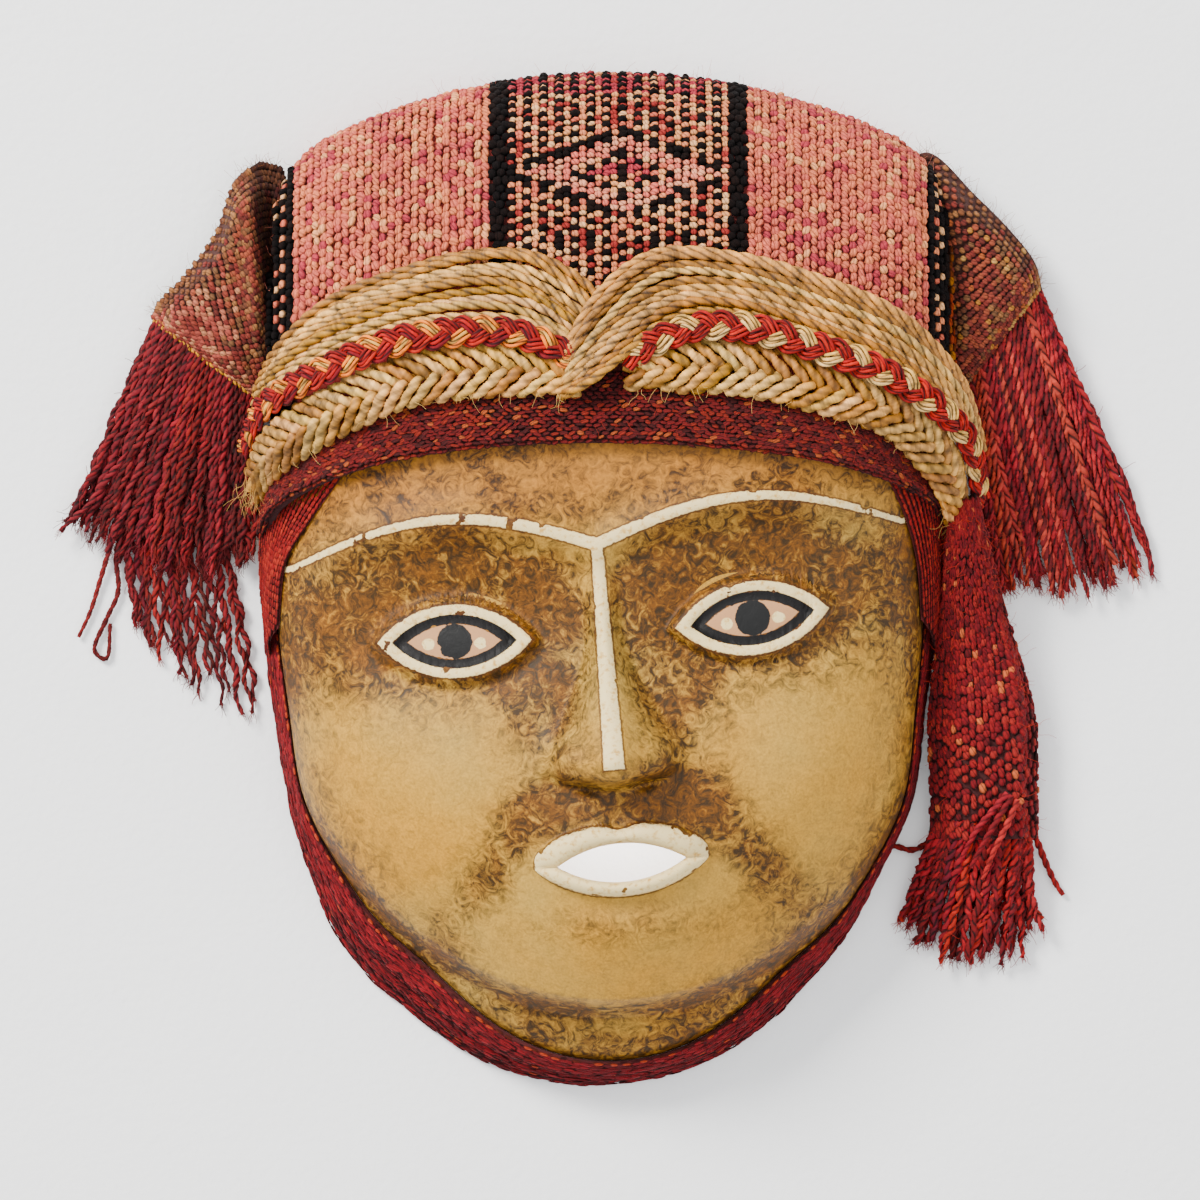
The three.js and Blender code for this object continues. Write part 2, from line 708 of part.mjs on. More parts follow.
// A fringe: cords side by side from a root line, each a ridge of one sheet, parting at their ends.
function fringe({ rootA, rootB, tips, cords, thickness, sag, rootRise }) {
  const ends = new THREE.CatmullRomCurve3(tips.map((p) => vec(...p)), false, "centripetal");
  const lengths = [1, 0.93, 0.98, 0.9, 0.96];
  const parting = 0.2;
  return skin({
    at: (t, w) => {
      const position = w * cords;
      const onCord = Math.abs(Math.sin(Math.PI * position));
      const length = lengths[Math.floor(position) % lengths.length] - parting * (1 - onCord);
      const point = vec(...rootA).lerp(vec(...rootB), w).lerp(ends.getPoint(w), t * length);
      point.z -= sag * Math.sin(Math.PI * t);
      return { point, normal: vec(0, 0, 1) };
    },
    stations: 3,
    across: cords * 2,
    bottomAcross: cords,
    top: (t, w) => {
      const ridge = 0.35 + 0.65 * Math.abs(Math.sin(Math.PI * cords * w));
      return (thickness + rootRise * (1 - t) ** 2) * ridge * (1 - 0.3 * t);
    },
    bottom: (t) => -0.6 - 1.4 * (1 - t),
  });
}
function leftFringe() {
  return fringe({
    rootA: [-114, 61.5, 7],
    rootB: [-91, 39.5, 7],
    tips: [[-136.5, 15, 4.6], [-127, 6, 5.4], [-112, 2, 5.4], [-98, 2, 5.4], [-90.5, 8, 5.4]],
    cords: 13,
    thickness: 2.8,
    sag: -1,
    rootRise: 2,
  });
}
function leftUnderFringe() {
  return fringe({
    rootA: [-112.5, 57, 2.8],
    rootB: [-91.5, 36, 2.8],
    tips: [[-134, -16, 1.4], [-122, -11, 1.4], [-112, -23, 1.4], [-102, -30, 1.4], [-90.8, -36, 1.4]],
    cords: 11,
    thickness: 1.8,
    sag: 0,
    rootRise: 0,
  });
}
function rightFringe() {
  return fringe({
    rootA: [92, 39.5, 8],
    rootB: [109.3, 68.5, 7],
    tips: [[98.5, -5, 2.5], [104, 1, 4], [113, -4, 4], [121, -3, 4], [129, 0, 3.5], [138, 3, 2.5]],
    cords: 15,
    thickness: 3.2,
    sag: -1,
    rootRise: 2,
  });
}
function scarfFringe() {
  return fringe({
    rootA: [81.5, -67, 6.5],
    rootB: [106.5, -67, 6.5],
    tips: [[72, -85, 2], [77.5, -94, 3], [88, -96.5, 4], [98, -94, 4], [107, -88, 3]],
    cords: 11,
    thickness: 3,
    sag: -1,
    rootRise: 3.5,
  });
}

const CLAY = new THREE.MeshStandardMaterial({ color: 0xa5824f, roughness: 0.5, metalness: 0 });
const PINK_WEAVE = new THREE.MeshStandardMaterial({ color: 0xc9756f, roughness: 0.95, metalness: 0 });
const RED_WEAVE = new THREE.MeshStandardMaterial({ color: 0x8c1f26, roughness: 0.95, metalness: 0 });
const RED_YARN = new THREE.MeshStandardMaterial({ color: 0x7d1e24, roughness: 0.9, metalness: 0 });
const STRAW_ROPE = new THREE.MeshStandardMaterial({ color: 0xb08d57, roughness: 0.85, metalness: 0 });
const TWO_TONE_BRAID = new THREE.MeshStandardMaterial({ color: 0xb0543c, roughness: 0.9, metalness: 0 });

const mesh = (name, solid, material) => {
  const made = new THREE.Mesh(toGeometry(solid), material);
  made.name = name;
  return made;
};
const part = new THREE.Group();
part.add(
  mesh("mask", mask(), CLAY),
  mesh("head_cloth", headCloth(), PINK_WEAVE),
  mesh("brow_cloth", browCloth(), RED_WEAVE),
  mesh("jaw_cloth", jawCloth(), RED_WEAVE),
  mesh("side_scarf", sideScarf(), RED_WEAVE),
  mesh("rope_bundle_left", leftBundle(), STRAW_ROPE),
  mesh("rope_bundle_right", rightBundle(), STRAW_ROPE),
  mesh("plait_left", leftPlait(), STRAW_ROPE),
  mesh("plait_right", rightPlait(), STRAW_ROPE),
  mesh("braid_left", braid(seam(SEAM.left, 0, BRAID_BASE)), TWO_TONE_BRAID),
  mesh("braid_right", braid(seam(SEAM.right, 0, BRAID_BASE)), TWO_TONE_BRAID),
  mesh("fringe_left", leftFringe(), RED_YARN),
  mesh("under_fringe_left", leftUnderFringe(), RED_YARN),
  mesh("fringe_right", rightFringe(), RED_YARN),
  mesh("scarf_fringe", scarfFringe(), RED_YARN),
);
export default part;
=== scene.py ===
# A moulded clay mask of a woman in woven cloths, straw ropes and wool fringes, lying on its back.
import math

import bpy
import mathutils
import numpy as np
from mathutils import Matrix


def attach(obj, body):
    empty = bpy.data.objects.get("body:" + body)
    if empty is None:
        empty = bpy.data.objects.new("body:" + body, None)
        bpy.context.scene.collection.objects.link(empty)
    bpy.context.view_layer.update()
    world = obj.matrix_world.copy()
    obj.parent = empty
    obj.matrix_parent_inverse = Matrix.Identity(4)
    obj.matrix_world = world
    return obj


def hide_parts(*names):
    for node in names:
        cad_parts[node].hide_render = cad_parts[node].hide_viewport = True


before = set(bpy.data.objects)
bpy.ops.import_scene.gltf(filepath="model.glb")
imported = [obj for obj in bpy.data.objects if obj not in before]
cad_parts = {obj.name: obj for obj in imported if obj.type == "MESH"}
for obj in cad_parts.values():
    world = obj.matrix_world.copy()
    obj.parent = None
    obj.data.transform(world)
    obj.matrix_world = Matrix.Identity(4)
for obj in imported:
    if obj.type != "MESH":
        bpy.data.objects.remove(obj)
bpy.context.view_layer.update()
mm = 0.001  # sizes below are in millimetres, and a mesh is brought to metres as it is made
print("frame loaded")


# Small helpers
def mix(a, b, share):
    return a + (b - a) * share


def smoothstep(value, low, high):
    t = np.clip((value - low) / (high - low), 0, 1)
    return t * t * (3 - 2 * t)


def unit(vectors):
    return vectors / np.maximum(np.linalg.norm(vectors, axis=-1, keepdims=True), 1e-9)


def bell(value, middle, spread):
    return np.exp(-(((value - middle) / spread) ** 2))


def arcLength(points):
    return np.concatenate([[0], np.cumsum(np.linalg.norm(np.diff(points, axis=0), axis=1))])


# Points or directions known at lengths s, read off at other lengths
def readAlong(at, s, table):
    return np.stack([np.interp(at, s, table[:, k]) for k in range(3)], -1)


sideNames = {-1: "left", 1: "right"}


def gridFaces(rows, columns, wrap=False):
    i, j = np.meshgrid(np.arange(rows - 1), np.arange(columns - (not wrap)), indexing="ij")
    ahead = (j + 1) % columns
    corners = [i * columns + j, i * columns + ahead, (i + 1) * columns + ahead, (i + 1) * columns + j]
    return np.stack(corners, -1).reshape(-1, 4)


def makeObject(name, points, faces=(), edges=(), attributes=None):
    mesh = bpy.data.meshes.new(name)
    mesh.from_pydata((np.asarray(points, float) * mm).tolist(), list(edges), [list(f) for f in faces])
    mesh.shade_smooth()
    for label, values in (attributes or {}).items():
        setAttribute(mesh, label, values)
    made = bpy.data.objects.new(name, mesh)
    bpy.context.scene.collection.objects.link(made)
    return made


def setAttribute(mesh, label, values):
    values = np.asarray(values, np.float32)
    kinds = {1: ("FLOAT", "value"), 3: ("FLOAT_VECTOR", "vector"), 4: ("FLOAT_COLOR", "color")}
    kind, field = kinds[1 if values.ndim == 1 else values.shape[1]]
    mesh.attributes.new(label, kind, "POINT").data.foreach_set(field, values.ravel())


def joinObjects(name, objects):
    bpy.ops.object.select_all(action="DESELECT")
    for one in objects:
        one.select_set(True)
    bpy.context.view_layer.objects.active = objects[0]
    if len(objects) > 1:
        bpy.ops.object.join()
    objects[0].name = name
    objects[0].data.name = name
    return objects[0]


# The head: an oval below its widest line, and two upright sides under a shallow arch above it
head = {
    "faceX": -3,  # middle of the oval
    "crownX": 0,  # middle of the arch
    "lean": 0.02,  # how far the middle runs to the right for each millimetre down
    "halfWidth": 81,
    "crownHalfWidth": 83,
    "chinReach": 121.4,
    "cheeks": (0.03, 0.6, 0.15),  # where the oval is fuller or flatter than an ellipse
    "jaw": (-0.032, 0.92, 0.07),
    "crownReach": 123.5,
    "archRadius": 163,
    "cornerSharpness": 16,
    "wallHeight": 12,  # the sides stand upright to here, and the dome starts
    "depth": 50,
    "fullness": 3,
    "wall": 6,  # thickness of the clay
}


def middleX(y):
    below = head["faceX"] - head["lean"] * y
    return np.where(y < 0, below, mix(head["faceX"], head["crownX"], smoothstep(y, 0, 60)))


def outlineReach(angle, grow):
    c, s = np.abs(np.cos(angle)), np.sin(angle)
    halfWidth = head["halfWidth"] + grow
    forms = sum(share * bell(-s, middle, spread) for share, middle, spread in (head["cheeks"], head["jaw"]))
    below = (1 + forms) / np.hypot(c / halfWidth, s / (head["chinReach"] + grow))
    side = mix(halfWidth, head["crownHalfWidth"] + grow, smoothstep(s, 0, 0.5))
    drop = head["archRadius"] - head["crownReach"]
    arch = np.sqrt((head["archRadius"] + grow) ** 2 - (drop * c) ** 2) - drop * s
    m = head["cornerSharpness"]
    above = ((c / side) ** m + (1 / arch) ** m) ** (-1 / m)
    return np.where(s < 0, below, above)


def outlinePoint(angle, share, grow):
    reach = share * outlineReach(angle, grow)
    y = reach * np.sin(angle)
    return middleX(y) + reach * np.cos(angle), y


def outlineShare(x, y, grow):
    u = x - middleX(y)
    return np.hypot(u, y) / outlineReach(np.arctan2(y, u), grow)


def domeHeight(x, y, grow):
    share = outlineShare(x, y, grow)
    bulge = np.sqrt(np.maximum(0, 1 - share ** head["fullness"]))
    height = head["wallHeight"] + (head["depth"] - head["wallHeight"] + grow) * bulge
    return np.where(share > 1.0001, 0, height)


def domeNormal(x, y, z, grow):
    step = 0.05

    def level(px, py, pz):
        rise = np.maximum(0, pz - head["wallHeight"]) / (head["depth"] - head["wallHeight"] + grow)
        return outlineShare(px, py, grow) ** head["fullness"] + rise**2

    across = level(x + step, y, z) - level(x - step, y, z)
    along = level(x, y + step, z) - level(x, y - step, z)
    up = level(x, y, z + step) - level(x, y, z - step)
    return unit(np.stack([across, along, up], -1))


# A place on the head: a point and its outward direction, over a plan point or on the side wall
def onFront(x, y, lift):
    x, y = np.broadcast_arrays(np.asarray(x, float), np.asarray(y, float))
    footX, footY = x, y
    for _ in range(12):
        footZ = domeHeight(footX, footY, 0)
        normal = domeNormal(footX, footY, footZ, 0)
        footX, footY = x - lift * normal[..., 0], y - lift * normal[..., 1]
    foot = np.stack([footX, footY, domeHeight(footX, footY, 0)], -1)
    return foot + normal * lift, normal


def onSide(side, y, z, lift):
    inner, outer = 0.0, 1.2 * head["crownHalfWidth"]
    for _ in range(30):
        middle = (inner + outer) / 2
        if domeHeight(middleX(y) + side * middle, y, 0) > z:
            inner = middle
        else:
            outer = middle
    x = middleX(y) + side * inner
    normal = domeNormal(x, y, z, 0)
    return np.array([x, y, z], float) + normal * lift, normal


# A smooth run through points, evaluated at shares t of its length in points
def smoothRun(points, t):
    points = np.asarray(points, float)
    last = len(points) - 1
    at = np.clip(np.asarray(t, float) * last, 0, last)
    i = np.minimum(at.astype(int), last - 1)
    w = (at - i)[:, None]
    p1, p2 = points[i], points[i + 1]
    p0 = np.where((i > 0)[:, None], points[np.maximum(i - 1, 0)], 2 * points[0] - points[1])
    beyond = 2 * points[last] - points[last - 1]
    p3 = np.where((i + 2 <= last)[:, None], points[np.minimum(i + 2, last)], beyond)

    def gap(a, b):
        return np.maximum(1e-4, (((a - b) ** 2).sum(1)) ** 0.25)[:, None]

    d0, d1, d2 = gap(p0, p1), gap(p1, p2), gap(p2, p3)
    m1 = ((p1 - p0) / d0 - (p2 - p0) / (d0 + d1) + (p2 - p1) / d1) * d1
    m2 = ((p2 - p1) / d1 - (p3 - p1) / (d1 + d2) + (p3 - p2) / d2) * d1
    c2 = -3 * p1 + 3 * p2 - 2 * m1 - m2
    c3 = 2 * p1 - 2 * p2 + m1 + m2
    return p1 + m1 * w + c2 * w**2 + c3 * w**3


def runAt(places, t):
    points = smoothRun([p for p, _ in places], t)
    normals = unit(smoothRun([n for _, n in places], t))
    return points, normals


def frontRun(lift, points):
    return [onFront(p[0], p[1], lift + (p[2] if len(p) > 2 else 0)) for p in points]


# Points between two edges: t runs along them, and w across from the first to the second
def between(edgeA, edgeB, t, w):
    pointA, normalA = runAt(edgeA, t)
    pointB, normalB = runAt(edgeB, t)
    w = np.asarray(w, float)[:, None]
    return mix(pointA, pointB, w), unit(mix(normalA, normalB, w))


# Geometry node trees
def newTree(name, inputs, outputs, kind="GeometryNodeTree"):
    tree = bpy.data.node_groups.new(name, kind)
    for label, socket, *value in inputs:
        made = tree.interface.new_socket(label, in_out="INPUT", socket_type="NodeSocket" + socket)
        if value:
            made.default_value = value[0]
    for label, socket in outputs:
        tree.interface.new_socket(label, in_out="OUTPUT", socket_type="NodeSocket" + socket)
    return tree, tree.nodes.new("NodeGroupInput"), tree.nodes.new("NodeGroupOutput")


def addNode(tree, kind, inputs=None, **properties):
    node = tree.nodes.new(kind)
    for label, value in properties.items():
        setattr(node, label, value)
    for label, value in (inputs or {}).items():
        socket = node.inputs[label]
        if isinstance(value, bpy.types.NodeSocket):
            tree.links.new(value, socket)
        else:
            socket.default_value = value
    return node


def mathNode(tree, operation, *values):
    return addNode(tree, "ShaderNodeMath", dict(enumerate(values)), operation=operation).outputs[0]


def vectorNode(tree, operation, *values):
    return addNode(tree, "ShaderNodeVectorMath", dict(enumerate(values)), operation=operation).outputs[0]


def scaleVector(tree, vector, amount):
    return vectorNode(tree, "MULTIPLY", vector, (amount, amount, amount))


def readAttribute(tree, label, kind="FLOAT"):
    node = addNode(tree, "GeometryNodeInputNamedAttribute", {"Name": label}, data_type=kind)
    return node.outputs["Attribute"]


def storeAttribute(tree, geometry, label, value, kind="FLOAT"):
    inputs = {"Geometry": geometry, "Name": label, 3: value}
    return addNode(tree, "GeometryNodeStoreNamedAttribute", inputs, data_type=kind).outputs[0]


def noiseNode(tree, place, scale, detail, **more):
    inputs = {"Vector": place, "Scale": scale, "Detail": detail, **more}
    return addNode(tree, "ShaderNodeTexNoise", inputs).outputs[0]


# Noise, which runs from 0 to 1, turned into a factor about 1
def factorOf(tree, noise, amount):
    centred = mathNode(tree, "SUBTRACT", noise, 0.5)
    return mathNode(tree, "MULTIPLY_ADD", centred, mathNode(tree, "MULTIPLY", amount, 4.0), 1.0)


# The end of a tree: real geometry, smooth, with the tree's material
def finishTree(tree, start, end, geometry):
    real = addNode(tree, "GeometryNodeRealizeInstances", {"Geometry": geometry}).outputs[0]
    smooth = addNode(tree, "GeometryNodeSetShadeSmooth", {"Geometry": real}).outputs[0]
    inputs = {"Geometry": smooth, "Material": start.outputs["Material"]}
    tree.links.new(addNode(tree, "GeometryNodeSetMaterial", inputs).outputs[0], end.inputs[0])
    return tree


# Runs a tree on an object, with values for its named inputs, and leaves a plain mesh
def growMesh(source, tree, name, values):
    modifier = source.modifiers.new("grow", "NODES")
    modifier.node_group = tree
    for item in tree.interface.items_tree:
        if item.item_type == "SOCKET" and item.in_out == "INPUT" and item.name in values:
            modifier[item.identifier] = values[item.name]
    bpy.context.view_layer.update()
    evaluated = source.evaluated_get(bpy.context.evaluated_depsgraph_get())
    mesh = bpy.data.meshes.new_from_object(evaluated)
    mesh.name = name
    source.modifiers.remove(modifier)
    bpy.data.objects.remove(source)
    made = bpy.data.objects.new(name, mesh)
    bpy.context.scene.collection.objects.link(made)
    return made


# Stitches: one yarn grain at every point, laid along the point's axis and flat on the cloth
def stitchTree():
    inputs = [
        ("Geometry", "Geometry"),
        ("Length", "Float", 0.0024),
        ("Width", "Float", 0.0019),
        ("Thickness", "Float", 0.0013),
        ("Unevenness", "Float", 0.15),
        ("Twist", "Float", 0.2),
        ("Seed", "Int", 1),
        ("Material", "Material"),
    ]
    tree, start, end = newTree("laidStitches", inputs, [("Geometry", "Geometry")])
    grain = addNode(tree, "GeometryNodeMeshIcoSphere", {"Radius": 0.5, "Subdivisions": 1}).outputs["Mesh"]
    place = addNode(tree, "GeometryNodeInputPosition").outputs[0]
    grain = storeAttribute(tree, grain, "grainPlace", place, "FLOAT_VECTOR")
    length, width, thickness, uneven, twist, seed = (start.outputs[label] for label, *_ in inputs[1:7])
    least, most = (vectorNode(tree, way, (1, 1, 1), uneven) for way in ("SUBTRACT", "ADD"))
    spread = {0: least, 1: most, "Seed": seed}
    wobble = addNode(tree, "FunctionNodeRandomValue", spread, data_type="FLOAT_VECTOR").outputs[0]
    size = addNode(tree, "ShaderNodeCombineXYZ", {"X": thickness, "Y": width, "Z": length}).outputs[0]
    size = vectorNode(tree, "MULTIPLY", size, wobble)
    size = vectorNode(tree, "MULTIPLY", size, readAttribute(tree, "grainSize", "FLOAT_VECTOR"))
    axis = {"Vector": readAttribute(tree, "grainAxis", "FLOAT_VECTOR")}
    along = addNode(tree, "FunctionNodeAlignRotationToVector", axis, axis="Z").outputs[0]
    up = {"Rotation": along, "Vector": readAttribute(tree, "grainNormal", "FLOAT_VECTOR")}
    flat = addNode(tree, "FunctionNodeAlignRotationToVector", up, axis="X", pivot_axis="Z").outputs[0]
    spread = {2: mathNode(tree, "MULTIPLY", twist, -1.0), 3: twist, "Seed": seed}
    lean = addNode(tree, "FunctionNodeRandomValue", spread, data_type="FLOAT").outputs[1]
    turn = addNode(tree, "ShaderNodeCombineXYZ", {"X": lean}).outputs[0]
    turns = {0: flat, 1: turn}
    turned = addNode(tree, "FunctionNodeRotateRotation", turns, rotation_space="LOCAL").outputs[0]
    inputs = {"Points": start.outputs["Geometry"], "Instance": grain, "Rotation": turned, "Scale": size}
    placed = addNode(tree, "GeometryNodeInstanceOnPoints", inputs).outputs[0]
    return finishTree(tree, start, end, placed)


# Twisted cord: a lobed section drawn along every line, turning as it goes
def cordTree():
    inputs = [
        ("Geometry", "Geometry"),
        ("Thickness", "Float", 0.0025),
        ("Pitch", "Float", 0.007),
        ("Plies", "Int", 2),
        ("Points", "Int", 10),
        ("Step", "Float", 0.0008),
        ("Waist", "Float", 0.62),
        ("Unevenness", "Float", 0.08),
        ("Material", "Material"),
    ]
    tree, start, end = newTree("twistedCords", inputs, [("Geometry", "Geometry")])
    given = (start.outputs[label] for label, *_ in inputs)
    lines, thickness, pitch, plies, count, step, waist, uneven, _ = given
    line = addNode(tree, "GeometryNodeMeshToCurve", {"Mesh": lines}).outputs[0]
    stepped = {"Curve": line, "Length": step}
    line = addNode(tree, "GeometryNodeResampleCurve", stepped, mode="LENGTH").outputs[0]
    travelled = addNode(tree, "GeometryNodeSplineParameter").outputs["Length"]
    turns = mathNode(tree, "DIVIDE", travelled, pitch)
    fullTurn = mathNode(tree, "MULTIPLY", readAttribute(tree, "hand"), 2 * math.pi)
    angle = mathNode(tree, "MULTIPLY", turns, fullTurn)
    angle = mathNode(tree, "ADD", angle, readAttribute(tree, "phase"))
    line = addNode(tree, "GeometryNodeSetCurveTilt", {"Curve": line, "Tilt": angle}).outputs[0]
    along = storeAttribute(tree, line, "alongCord", travelled)
    place = addNode(tree, "GeometryNodeInputPosition").outputs[0]
    lumps = factorOf(tree, noiseNode(tree, place, 300.0, 1.0), uneven)
    scale = mathNode(tree, "MULTIPLY", lumps, readAttribute(tree, "cordSize"))

    ring = addNode(tree, "GeometryNodeCurvePrimitiveCircle", {"Resolution": count, "Radius": 1.0}).outputs[0]
    spot = addNode(tree, "GeometryNodeInputPosition").outputs[0]
    parts = addNode(tree, "ShaderNodeSeparateXYZ", {0: spot})
    around = mathNode(tree, "ARCTAN2", parts.outputs["Y"], parts.outputs["X"])
    half = mathNode(tree, "MULTIPLY", plies, 0.5)
    lobe = mathNode(tree, "ABSOLUTE", mathNode(tree, "COSINE", mathNode(tree, "MULTIPLY", around, half)))
    lobe = mathNode(tree, "POWER", lobe, 0.7)
    radius = mathNode(tree, "MULTIPLY_ADD", lobe, mathNode(tree, "SUBTRACT", 1.0, waist), waist)
    radius = mathNode(tree, "MULTIPLY", radius, mathNode(tree, "MULTIPLY", thickness, 0.5))
    spoke = addNode(tree, "ShaderNodeVectorMath", {0: spot, "Scale": radius}, operation="SCALE").outputs[0]
    ring = addNode(tree, "GeometryNodeSetPosition", {"Geometry": ring, "Position": spoke}).outputs[0]
    ring = storeAttribute(tree, ring, "lobe", lobe)
    ring = storeAttribute(tree, ring, "aroundCord", spot, "FLOAT_VECTOR")
    inputs = {"Curve": along, "Profile Curve": ring, "Scale": scale, "Fill Caps": True}
    return finishTree(tree, start, end, addNode(tree, "GeometryNodeCurveToMesh", inputs).outputs[0])


stitchMaker = stitchTree()
cordMaker = cordTree()
print("node trees built")


# Shared finishes
def linear(color):
    c = np.asarray(color, float)
    return np.where(c <= 0.04045, c / 12.92, ((c + 0.055) / 1.055) ** 2.4)


# A colour as it looks in strong daylight, made a little stronger because the tone curve softens it
def rgba(color):
    plain = linear(color)
    grey = plain @ [0.25, 0.6, 0.15]
    strong = np.clip(0.72 * (grey + (plain - grey) * 1.25), 0.001, 1)
    return (*[float(c) for c in strong], 1.0)


# Fine fibres: streaks along a cord, or plain fuzz, as a shade and a height
def fibreGroup():
    inputs = [("Vector", "Vector"), ("Scale", "Float", 1.0), ("Contrast", "Float", 0.3)]
    outputs = [("Shade", "Float"), ("Height", "Float")]
    tree, start, end = newTree("fineFibres", inputs, outputs, "ShaderNodeTree")
    strands = noiseNode(tree, start.outputs["Vector"], start.outputs["Scale"], 4.0, Roughness=0.65)
    tree.links.new(factorOf(tree, strands, start.outputs["Contrast"]), end.inputs["Shade"])
    tree.links.new(strands, end.inputs["Height"])
    return tree


# Dust and handling: slow drifts of tone over a whole piece
def driftGroup():
    inputs = [("Color", "Color"), ("Scale", "Float", 40.0), ("Amount", "Float", 0.2)]
    tree, start, end = newTree("toneDrift", inputs, [("Color", "Color")], "ShaderNodeTree")
    cloud = noiseNode(tree, objectPlace(tree), start.outputs["Scale"], 3.0)
    value = factorOf(tree, cloud, start.outputs["Amount"])
    tree.links.new(shaded(tree, start.outputs["Color"], value), end.inputs[0])
    return tree


def objectPlace(tree):
    return addNode(tree, "ShaderNodeTexCoord").outputs["Object"]


def shaderAttribute(tree, label, kind="Fac"):
    return addNode(tree, "ShaderNodeAttribute", attribute_name=label).outputs[kind]


# A colour made lighter or darker
def shaded(tree, color, value):
    return addNode(tree, "ShaderNodeHueSaturation", {"Color": color, "Value": value}).outputs[0]


# Value that rises smoothly from one shade to another as an input runs from low to high
def shadeBetween(tree, value, low, high, darkest, lightest):
    inputs = {"Value": value, "From Min": low, "From Max": high, "To Min": darkest, "To Max": lightest}
    return addNode(tree, "ShaderNodeMapRange", inputs, interpolation_type="SMOOTHSTEP").outputs[0]


fibres = fibreGroup()
drift = driftGroup()


def newMaterial(name, **values):
    material = bpy.data.materials.new(name)
    material.use_nodes = True
    tree = material.node_tree
    shader = tree.nodes["Principled BSDF"]
    for label, value in values.items():
        shader.inputs[label.replace("_", " ")].default_value = value
    return material, tree, shader


def useGroup(tree, group, inputs):
    return addNode(tree, "ShaderNodeGroup", inputs, node_tree=group).outputs


def setColor(tree, shader, color):
    tree.links.new(color, shader.inputs["Base Color"])


def setBump(tree, shader, height, strength, distance):
    bump = addNode(tree, "ShaderNodeBump", {"Strength": strength, "Distance": distance, "Height": height})
    tree.links.new(bump.outputs[0], shader.inputs["Normal"])


# Yarn laid in stitches: each grain is two plies, with painted shade in the groove between them and towards
# its base where it sinks into the cloth (sunk is how dark it gets there), and a slight painted highlight on
# its crown
def stitchMaterial(name, contrast=0.5, sunk=0.16, gloss=0.27):
    material, tree, shader = newMaterial(name, Roughness=0.9, Specular_IOR_Level=gloss)
    dye = shaderAttribute(tree, "yarnColor", "Color")
    spot = shaderAttribute(tree, "grainPlace", "Vector")
    parts = addNode(tree, "ShaderNodeSeparateXYZ", {0: spot})
    rise = mathNode(tree, "MULTIPLY", parts.outputs["Z"], 2.6)
    turn = mathNode(tree, "MULTIPLY_ADD", parts.outputs["Y"], 4.2, rise)
    ply = mathNode(tree, "ABSOLUTE", mathNode(tree, "SINE", mathNode(tree, "ADD", turn, 0.5)))
    shift = scaleVector(tree, objectPlace(tree), 160.0)  # so that no two grains have the same fibres
    across = mathNode(tree, "MULTIPLY", turn, 1.6)
    sloped = addNode(tree, "ShaderNodeCombineXYZ", {"X": across, "Y": parts.outputs["Z"]}).outputs[0]
    place = vectorNode(tree, "ADD", sloped, shift)
    fuzz = useGroup(tree, fibres, {"Vector": place, "Scale": 2.4, "Contrast": contrast})
    toned = useGroup(tree, drift, {"Color": dye, "Scale": 45.0, "Amount": 0.12})[0]
    # painted shade: darker towards the grain's base, where it sinks into the cloth, and a slight painted
    # highlight on its crown
    rise = shadeBetween(tree, parts.outputs["X"], 0.02, 0.40, sunk, 1.1)
    # painted shade in the groove between the two plies
    seam = shadeBetween(tree, ply, 0.0, 0.5, 0.5, 1.05)
    value = mathNode(tree, "MULTIPLY", mathNode(tree, "MULTIPLY", rise, seam), fuzz["Shade"])
    setColor(tree, shader, shaded(tree, toned, value))
    setBump(tree, shader, mathNode(tree, "MULTIPLY_ADD", ply, 0.8, fuzz["Height"]), 0.8, 0.0005)
    return material


# Spun cord: fibres run along it, with painted shade in the groove between its plies and a slight painted
# highlight on their crowns
def cordMaterial(name, roughness, contrast, grooveShade):
    material, tree, shader = newMaterial(name, Roughness=roughness, Specular_IOR_Level=0.3)
    dye = shaderAttribute(tree, "yarnColor", "Color")
    along = mathNode(tree, "MULTIPLY", shaderAttribute(tree, "alongCord"), 230.0)
    along = addNode(tree, "ShaderNodeCombineXYZ", {"Z": along}).outputs[0]
    around = scaleVector(tree, shaderAttribute(tree, "aroundCord", "Vector"), 3.4)
    shift = scaleVector(tree, objectPlace(tree), 12.0)  # so that no two cords have the same fibres
    place = vectorNode(tree, "ADD", vectorNode(tree, "ADD", along, around), shift)
    streaks = useGroup(tree, fibres, {"Vector": place, "Scale": 1.8, "Contrast": contrast})
    toned = useGroup(tree, drift, {"Color": dye, "Scale": 60.0, "Amount": 0.15})[0]
    # painted shade in the groove between the plies, and a slight painted highlight on their crowns
    depth = shadeBetween(tree, shaderAttribute(tree, "lobe"), 0.12, 0.8, 1.0 - grooveShade, 1.06)
    value = mathNode(tree, "MULTIPLY", depth, streaks["Shade"])
    setColor(tree, shader, shaded(tree, toned, value))
    setBump(tree, shader, streaks["Height"], 0.8, 0.0004)
    return material


# The ground of a cloth, which shows only between its stitches; its dyes, darker than the yarns, are painted
# shade for those gaps
def groundMaterial(name):
    material, tree, shader = newMaterial(name, Roughness=0.95)
    dye = shaderAttribute(tree, "yarnColor", "Color")
    fuzz = useGroup(tree, fibres, {"Vector": objectPlace(tree), "Scale": 1400.0, "Contrast": 0.5})
    setColor(tree, shader, shaded(tree, dye, fuzz["Shade"]))
    setBump(tree, shader, fuzz["Height"], 0.6, 0.0005)
    return material


